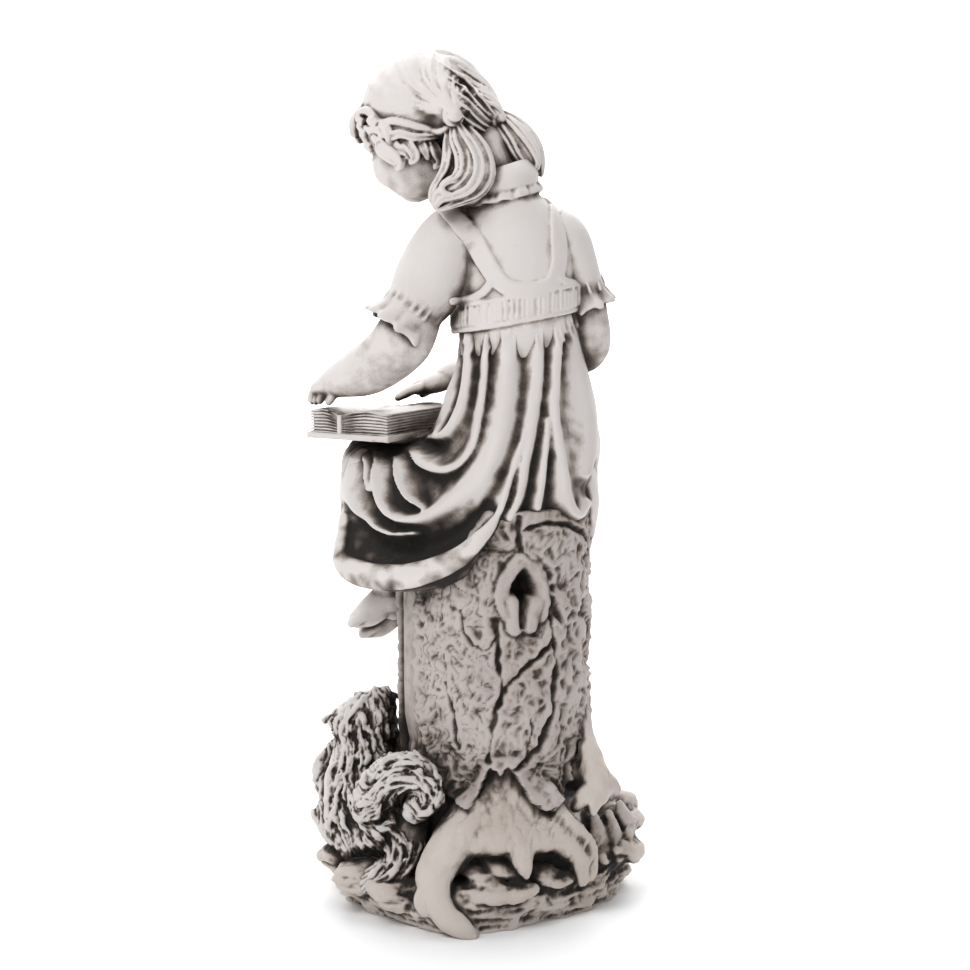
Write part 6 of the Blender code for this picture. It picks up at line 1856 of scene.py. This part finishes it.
    def fringe(self) -> list[Form]:
        """Makes the curls over the middle of the forehead."""
        forms = []
        for i in range(self.fringe_curls):
            left = -3.2 + 0.8 * i
            root = np.array((left, 5.6 - 0.09 * left**2, 4.4 - 0.07 * left**2 - 0.7 * (i % 2)))
            out = unit(root - np.array((0, 0.0, 0.5)))
            across = unit(np.cross(out, FALL)) * (1 if i % 2 else -1)
            line = [root - out * 0.6 - FALL * 1.4]
            for step in range(9):
                angle = math.radians(-60 + 55 * step)
                r = 0.85 * (1.1 - 0.1 * step)
                curl = root + FALL * (0.5 + math.sin(angle) * r) + across * math.cos(angle) * r
                line.append(curl + out * 0.05 * step)
            forms.append(head_rod(line, [0.35] + [0.46 - 0.03 * step for step in range(9)], 0.9, None, 10))
            forms.append(head_ball(root + FALL * 0.4 - out * 0.25, (0.95, 0.95, 0.95)))
        return forms

    def forms(self) -> list[Form]:
        """Lays all the hair over a cap that ends above the face."""
        bulk = [head_ball(HAIR_MIDDLE, (5.8, 6.3, 5.6)), head_ball((0, -4.6, -2.2), (3.4, 2.6, 3.2))]
        for side in (1, -1):
            back = ((side * 1.6, -3.6, 2.4), (side * 2.4, -5.0, -0.4), TIE * (side * 0.95, 0.97, 0.95))
            bulk.append(head_rod(back, (2.5, 2.0, 0.9), sides=24))
        cap = melted(bulk, self.cap_grain, 6)
        locks = self.parted(cap.tree(), self.locks_a_side, (0.45, 0.95, 0.85, 0.5), 0.0, 0.6, 3)
        hair = melted([cap] + locks, self.lock_grain, 4)
        tree = hair.tree()
        strands = self.parted(tree, self.strands_a_side, (0.1, 0.22, 0.22, 0.12), 0.0, 0.9, 7)
        bed = joined([hair, head_ball((0, 1.8, -2.3), (4.8, 4.7, 4.6))]).tree()
        return [hair] + strands + self.bunches() + self.curls(bed) + self.fringe()

    def relief(self, points: Array, ways: Array) -> Array:
        """Roughens the laid hair a little."""
        return 0.02 * noise(points, 0.9, 95)


# Wash, painted shade and finish

# How much the fine creases, the broad ones and the crowding at each reach count on each surface, in the wash
# and in its painted occlusion shade
WASH_AND_SHADE_WEIGHTS = {
    Surface.SKIN: (0.05, 0.14, 0.26, 0.20, 0.10),
    Surface.CLOTH: (0.06, 0.24, 0.38, 0.34, 0.18),
    Surface.HAIR: (0.26, 0.24, 0.26, 0.22, 0.14),
    Surface.FUR: (0.18, 0.20, 0.28, 0.26, 0.16),
    Surface.BARK: (0.08, 0.14, 0.24, 0.20, 0.09),
    Surface.GROUND: (0.08, 0.15, 0.30, 0.30, 0.20),
    Surface.PAPER: (0.26, 0.20, 0.24, 0.22, 0.14),
}
# After how many passes of smoothing the fine and the broad creases are read, and their full depths in metres
CREASE_PASSES = (4, 24)
FINE_DEPTH = 0.0003
BROAD_DEPTH = 0.001


@dataclass
class WashAndShade:
    """The dark wash that was rubbed over the casting and stayed in its hollows, with painted shade over it:
    where the skin is crowded, mostly at the broader reaches, it is darkened as occlusion would shade it.

    The depth of a hollow is read at a few reaches, in metres.
    """

    cell: float = 0.0025
    reaches: tuple[float, ...] = (0.004, 0.010, 0.022)
    union_grain: float = 0.003
    grid: dict[float, Array] = field(default_factory=dict)
    corner: Array = field(default_factory=lambda: np.zeros(3))

    def skin_of(self, made: Sequence[bpy.types.Object]) -> tuple[Array, Array]:
        """Merges copies of all the pieces, and reads the skin that is left.

        Args:
            made: the pieces.

        Returns:
            The skin's points, and the area that each stands for.
        """
        copies = []
        for piece in made:
            copy = piece.copy()
            copy.data = piece.data.copy()
            bpy.context.scene.collection.objects.link(copy)
            copies.append(copy)
        make_active(copies[0])
        for copy in copies:
            copy.select_set(True)
        bpy.ops.object.join()
        whole = bpy.context.view_layer.objects.active
        finish_with(whole, "REMESH", mode="VOXEL", voxel_size=self.union_grain)
        mesh = whole.data
        points = vertices(mesh)
        area = np.empty(len(mesh.polygons), np.float32)
        mesh.polygons.foreach_get("area", area)
        loops = np.empty(len(mesh.loops), np.int32)
        mesh.loops.foreach_get("vertex_index", loops)
        totals = np.empty(len(mesh.polygons), np.int32)
        mesh.polygons.foreach_get("loop_total", totals)
        share = np.bincount(loops, np.repeat(area / totals, totals), len(points))
        bpy.data.objects.remove(whole)
        return points, share

    def read(self, made: Sequence[bpy.types.Object]) -> None:
        """Spreads the skin's area over a grid, blurred at each reach."""
        points, area = self.skin_of(made)
        margin = 4 * max(self.reaches)
        self.corner = points.min(0) - margin
        size = np.ceil((points.max(0) + margin - self.corner) / self.cell).astype(int) + 1
        index = np.floor((points - self.corner) / self.cell + 0.5).astype(int)
        flat = np.ravel_multi_index(index.T, size)
        raw = np.bincount(flat, area, int(np.prod(size))).reshape(size).astype(np.float32)
        for reach in self.reaches:
            self.grid[reach] = self.blurred(raw, reach / self.cell)

    @staticmethod
    def blurred(raw: Array, sigma: float) -> Array:
        """Blurs a grid by a bell curve along each axis."""
        span = int(math.ceil(3 * sigma))
        weights = np.exp(-0.5 * (np.arange(-span, span + 1) / sigma) ** 2)
        weights = (weights / weights.sum()).astype(np.float32)
        result = raw
        for axis in range(3):
            padded = np.pad(result, [(span, span) if k == axis else (0, 0) for k in range(3)])
            total = np.zeros_like(raw)
            for k, weight in enumerate(weights):
                cut = [slice(None)] * 3
                cut[axis] = slice(k, k + raw.shape[axis])
                total += weight * padded[tuple(cut)]
            result = total
        return result

    def occlusion(self, points: Array, ways: Array, reach: float) -> Array:
        """Compares the skin round a point with that round a flat one.

        Args:
            points: where to read.
            ways: the way each point faces.
            reach: how far round the point counts.

        Returns:
            1 on a flat skin, more in a hollow and less on a ridge.
        """
        spot = (points + ways * reach - self.corner) / self.cell
        low = np.clip(np.floor(spot).astype(int), 0, np.array(self.grid[reach].shape) - 2)
        part = limited(spot - low)
        total = np.zeros(len(points))
        for corner in np.ndindex(2, 2, 2):
            weight = np.prod(np.where(corner, part, 1 - part), axis=1)
            total += weight * self.grid[reach][tuple((low + corner).T)]
        flat = self.cell**3 / (math.sqrt(2 * math.pi) * reach) * math.exp(-0.5)
        return total / flat

    @staticmethod
    def creases(mesh: bpy.types.Mesh, passes: Sequence[int]) -> list[Array]:
        """Measures how far each point lies under the smoothed skin.

        Args:
            mesh: a piece's mesh.
            passes: after how many passes of smoothing to measure.

        Returns:
            For each count of passes, a depth in metres at each point.
        """
        points, ways = vertices(mesh), normals(mesh)
        pairs = np.empty(len(mesh.edges) * 2, np.int32)
        mesh.edges.foreach_get("vertices", pairs)
        a, b = pairs.reshape(-1, 2).T
        count = np.bincount(a, minlength=len(points)) + np.bincount(b, minlength=len(points))
        soft = points.copy()
        found = []
        for step in range(1, max(passes) + 1):
            for axis in range(3):
                near = np.bincount(a, soft[b, axis], len(points)) + np.bincount(b, soft[a, axis], len(points))
                soft[:, axis] = 0.4 * soft[:, axis] + 0.6 * near / np.maximum(count, 1)
            if step in passes:
                found.append(((soft - points) * ways).sum(1))
        return found

    def rub(self, made: bpy.types.Object, carving: Carving) -> None:
        """Writes how much wash and painted shade each point of a piece holds.

        Args:
            made: the piece.
            carving: its maker, who tells how much wash and painted shade it holds.
        """
        mesh = made.data
        points, ways = vertices(mesh), normals(mesh)
        fine, broad = self.creases(mesh, CREASE_PASSES)
        near, far, deep = (self.occlusion(points, ways, reach) for reach in self.reaches)
        weights = WASH_AND_SHADE_WEIGHTS[carving.surface]
        # The fine creases hold the wash; the crowding, most at the broader reaches, is painted occlusion
        # shade in deep hollows and between pieces
        occluded = ((near - 1.0) / 0.7, (far - 1.0) / 0.8, (deep - 1.1) / 0.9)
        parts = (fine / FINE_DEPTH, broad / BROAD_DEPTH, *occluded)
        wash = sum(weight * np.clip(part, -0.5, 1.6) for weight, part in zip(weights, parts))
        # Each piece adds its own painted shade and uneven stains
        wash = 0.3 + 0.7 * wash + carving.shade_and_stains(to_drawing(points), ways)
        attribute = mesh.attributes.new("wash", "FLOAT", "POINT")
        attribute.data.foreach_set("value", limited(wash).astype(np.float32))


class Value:
    """A number in a material's maths. Python's operators add its Math nodes."""

    def __init__(self, paint: "Paint", socket: Any) -> None:
        """Wraps a socket of a paint's nodes."""
        self.paint = paint
        self.socket = socket

    def math(self, operation: str, first: Any, second: Any, clamp: bool = False) -> "Value":
        """Adds a Math node."""
        node = self.paint.node("ShaderNodeMath", {"operation": operation, "use_clamp": clamp},
                               {0: first, 1: second})
        return Value(self.paint, node.outputs[0])

    def __add__(self, other: Any) -> "Value":
        """Adds."""
        return self.math("ADD", self, other)

    def __sub__(self, other: Any) -> "Value":
        """Takes away."""
        return self.math("SUBTRACT", self, other)

    def __mul__(self, other: Any) -> "Value":
        """Multiplies."""
        return self.math("MULTIPLY", self, other)

    def clamped(self) -> "Value":
        """Keeps the value from 0 to 1."""
        return self.math("ADD", self, 0.0, True)


@dataclass(frozen=True)
class StoneFinish:
    """A finish of the cast stone: its colours, its roughness and how it takes the wash and the painted shade.
    """

    name: str
    pale: tuple[float, float, float] = (0.70, 0.655, 0.63)
    tinted: tuple[float, float, float] = (0.60, 0.545, 0.515)
    # The darker colours, from light to deepest, paint the wash and the painted shade
    mid_wash_and_shade: tuple[float, float, float] = (0.30, 0.245, 0.21)
    wash: tuple[float, float, float] = (0.075, 0.055, 0.043)
    deep: tuple[float, float, float] = (0.013, 0.011, 0.010)
    start: float = 0.34
    patchy: float = 0.16
    grain_size: float = 260.0
    grain_depth: float = 0.00018
    roughness: float = 0.62


FINISHES = {
    Surface.SKIN: StoneFinish("smooth_cast_stone"),
    Surface.CLOTH: StoneFinish("cloth_cast_stone", patchy=0.22),
    Surface.HAIR: StoneFinish("hair_cast_stone", grain_depth=0.0001),
    Surface.FUR: StoneFinish("fur_cast_stone", pale=(0.62, 0.585, 0.56), start=0.30, grain_depth=0.0001),
    Surface.BARK: StoneFinish(
        "bark_cast_stone", pale=(0.52, 0.46, 0.435), tinted=(0.38, 0.315, 0.27), start=0.26, patchy=0.3,
        grain_size=340.0, grain_depth=0.0005
    ),
    Surface.GROUND: StoneFinish(
        "ground_cast_stone", pale=(0.60, 0.535, 0.49), tinted=(0.42, 0.34, 0.28), start=0.30, patchy=0.3,
        grain_depth=0.0003
    ),
    Surface.PAPER: StoneFinish("page_cast_stone"),
}


class Paint:
    """Builds one material from nodes."""

    def __init__(self, name: str) -> None:
        """Starts a material with its Principled shader."""
        self.material = bpy.data.materials.new(name)
        self.material.use_nodes = True
        self.tree = self.material.node_tree
        self.shader = self.tree.nodes["Principled BSDF"]

    def node(self, kind: str, settings: dict[str, Any], inputs: dict[Any, Any]) -> Any:
        """Adds a node.

        Args:
            kind: its type.
            settings: its own settings, with a ramp's stops under "stops".
            inputs: values or links for its sockets.

        Returns:
            The node.
        """
        made = self.tree.nodes.new(kind)
        for key, value in settings.items():
            if key == "stops":
                elements = made.color_ramp.elements
                while len(elements) < len(value):
                    elements.new(0.5)
                for element, (place, colour) in zip(elements, value):
                    element.position = place
                    element.color = (*colour, 1)
            else:
                setattr(made, key, value)
        for key, value in inputs.items():
            if isinstance(value, Value):
                self.tree.links.new(value.socket, made.inputs[key])
            elif isinstance(value, bpy.types.NodeSocket):
                self.tree.links.new(value, made.inputs[key])
            else:
                made.inputs[key].default_value = value
        return made

    def noise(self, scale: float, detail: float) -> Value:
        """Adds noise on the piece's own coordinates."""
        place = self.node("ShaderNodeTexCoord", {}, {}).outputs["Object"]
        made = self.node("ShaderNodeTexNoise", {}, {"Vector": place, "Scale": scale, "Detail": detail})
        return Value(self, made.outputs[0])

    def mix(self, share: Any, first: Any, second: Any) -> Any:
        """Mixes two colours."""
        colours = [(*c, 1) if isinstance(c, tuple) else c for c in (first, second)]
        made = self.node("ShaderNodeMix", {"data_type": "RGBA"}, {0: share, 6: colours[0], 7: colours[1]})
        return made.outputs[2]


def stone(finish: StoneFinish) -> bpy.types.Material:
    """Builds the cast stone with its wash and painted shade.

    Args:
        finish: its colours and how it takes the wash and painted shade.

    Returns:
        The material.
    """
    paint = Paint(finish.name)
    wash_and_shade_held = Value(paint, paint.node("ShaderNodeAttribute", {"attribute_name": "wash"}, {}).outputs["Fac"])
    broad = paint.noise(14.0, 4.0)
    fine = paint.noise(120.0, 5.0)
    speck = paint.noise(700.0, 2.0)
    uneven = wash_and_shade_held + (broad - 0.5) * finish.patchy + (fine - 0.5) * finish.patchy + (speck - 0.5) * 0.14
    # Three darker steps of the wash and painted shade, from light to deepest
    light_wash_and_shade = ((uneven - finish.start) * 4.5).clamped()
    heavy_wash_and_shade = ((uneven - finish.start - 0.18) * 4.5).clamped()
    darkest_wash_and_shade = ((uneven - finish.start - 0.40) * 4.5).clamped()
    worn = ((broad - 0.42) * 3.0 + (speck - 0.5) * 0.8).clamped()
    body = paint.mix(worn * 0.55, finish.pale, finish.tinted)
    body = paint.mix(light_wash_and_shade * 0.8, body, finish.mid_wash_and_shade)
    body = paint.mix(heavy_wash_and_shade * 0.92, body, finish.wash)
    body = paint.mix(darkest_wash_and_shade * 0.95, body, finish.deep)
    rough = (light_wash_and_shade * 0.18 + fine * 0.12 + (finish.roughness - 0.06)).clamped()
    grain = paint.noise(finish.grain_size, 6.0)
    bump = paint.node("ShaderNodeBump", {},
                      {"Height": grain, "Distance": finish.grain_depth, "Strength": 1.0})
    paint.tree.links.new(body, paint.shader.inputs["Base Color"])
    paint.tree.links.new(rough.socket, paint.shader.inputs["Roughness"])
    paint.tree.links.new(bump.outputs[0], paint.shader.inputs["Normal"])
    paint.shader.inputs["Specular IOR Level"].default_value = 0.35
    return paint.material


@dataclass
class Studio:
    """The camera, the floor and the soft light."""

    pitch: float = math.radians(7.3)
    focal_pixels: float = 2083.0
    frame_pixels: float = 970.0
    sensor: float = 36.0
    ambience: float = 0.40
    target: tuple[float, float, float] = (0, 0, 0.42)
    floor_size: float = 30.0
    floor_drop: float = 0.0005
    backdrop_size: float = 14.0
    backdrop_distance: float = 3.4

    def camera(self) -> None:
        """Sets the camera where the photograph was taken."""
        data = bpy.data.cameras.new("studio_camera")
        data.sensor_width = self.sensor
        data.lens = self.sensor * self.focal_pixels / self.frame_pixels
        made = linked("studio_camera", data)
        made.location = tuple(to_metres(VIEWER))
        made.rotation_euler = (math.pi / 2 - self.pitch, 0, 0)
        bpy.context.scene.camera = made

    def light(self, name: str, place: Sequence[float], size: float, power: float,
              colour: Sequence[float]) -> None:
        """Adds a soft light that looks at the statue's middle."""
        data = bpy.data.lights.new(name, "AREA")
        data.size = size
        data.energy = power
        data.color = colour
        made = linked(name, data)
        made.location = place
        made.rotation_euler = (Vector(self.target) - Vector(place)).to_track_quat("-Z", "Y").to_euler()

    def build(self) -> None:
        """Builds the floor, the backdrop's colour and the lights."""
        bpy.ops.object.select_all(action="DESELECT")
        bpy.ops.mesh.primitive_plane_add(size=self.floor_size, location=(0, 0, -self.floor_drop))
        floor = bpy.context.active_object
        floor.name = "studio_floor"
        paint = Paint("studio_floor")
        paint.shader.inputs["Base Color"].default_value = (0.99, 0.99, 0.99, 1)
        paint.shader.inputs["Roughness"].default_value = 0.9
        floor.data.materials.append(paint.material)
        world = bpy.data.worlds.new("studio")
        world.use_nodes = True
        world.node_tree.nodes["Background"].inputs[0].default_value = (1, 1, 1, 1)
        world.node_tree.nodes["Background"].inputs[1].default_value = self.ambience
        bpy.context.scene.world = world
        self.light("key", (-1.0, -1.5, 2.3), 1.1, 34.0, (0.97, 0.985, 1.0))
        self.light("overhead", (0.0, 1.4, 2.6), 3.0, 78.0, (0.95, 0.975, 1.0))
        bpy.ops.mesh.primitive_plane_add(size=self.backdrop_size, location=(0, self.backdrop_distance, 0),
                                         rotation=(math.pi / 2, 0, 0))
        backdrop = bpy.context.active_object
        backdrop.name = "studio_backdrop"
        glow = Paint("studio_backdrop")
        glow.shader.inputs["Base Color"].default_value = (0.9, 0.9, 0.9, 1)
        glow.shader.inputs["Emission Color"].default_value = (1, 1, 1, 1)
        glow.shader.inputs["Emission Strength"].default_value = 1.0
        backdrop.data.materials.append(glow.material)
        bpy.context.scene.view_settings.view_transform = "Standard"
        self.camera()


def main() -> None:
    """Builds every piece, rubs the wash and painted shade in and sets up the studio."""
    logging.basicConfig(level=logging.INFO, format="%(message)s")
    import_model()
    carvings: list[Carving] = [
        RockyBase(), TreeStump(), Puppy(), Skirt(), Legs(), Bodice(),
        Arm(name="left_arm"), Arm(name="right_arm", near=False), Book(), Face(), Hair(),
    ]
    made = []
    for carving in carvings:
        piece = carving.build()
        triangles = sum(len(p.vertices) - 2 for p in piece.data.polygons)
        LOG.info("%s: %d triangles", carving.name, triangles)
        made.append(piece)
    wash = WashAndShade()
    wash.read(made)
    paints = {surface: stone(finish) for surface, finish in FINISHES.items()}
    for carving, piece in zip(carvings, made):
        wash.rub(piece, carving)
        piece.data.materials.clear()
        piece.data.materials.append(paints[carving.surface])
        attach(piece, "root")
        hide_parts(NODE)
    Studio().build()


if __name__ == "__main__":
    main()
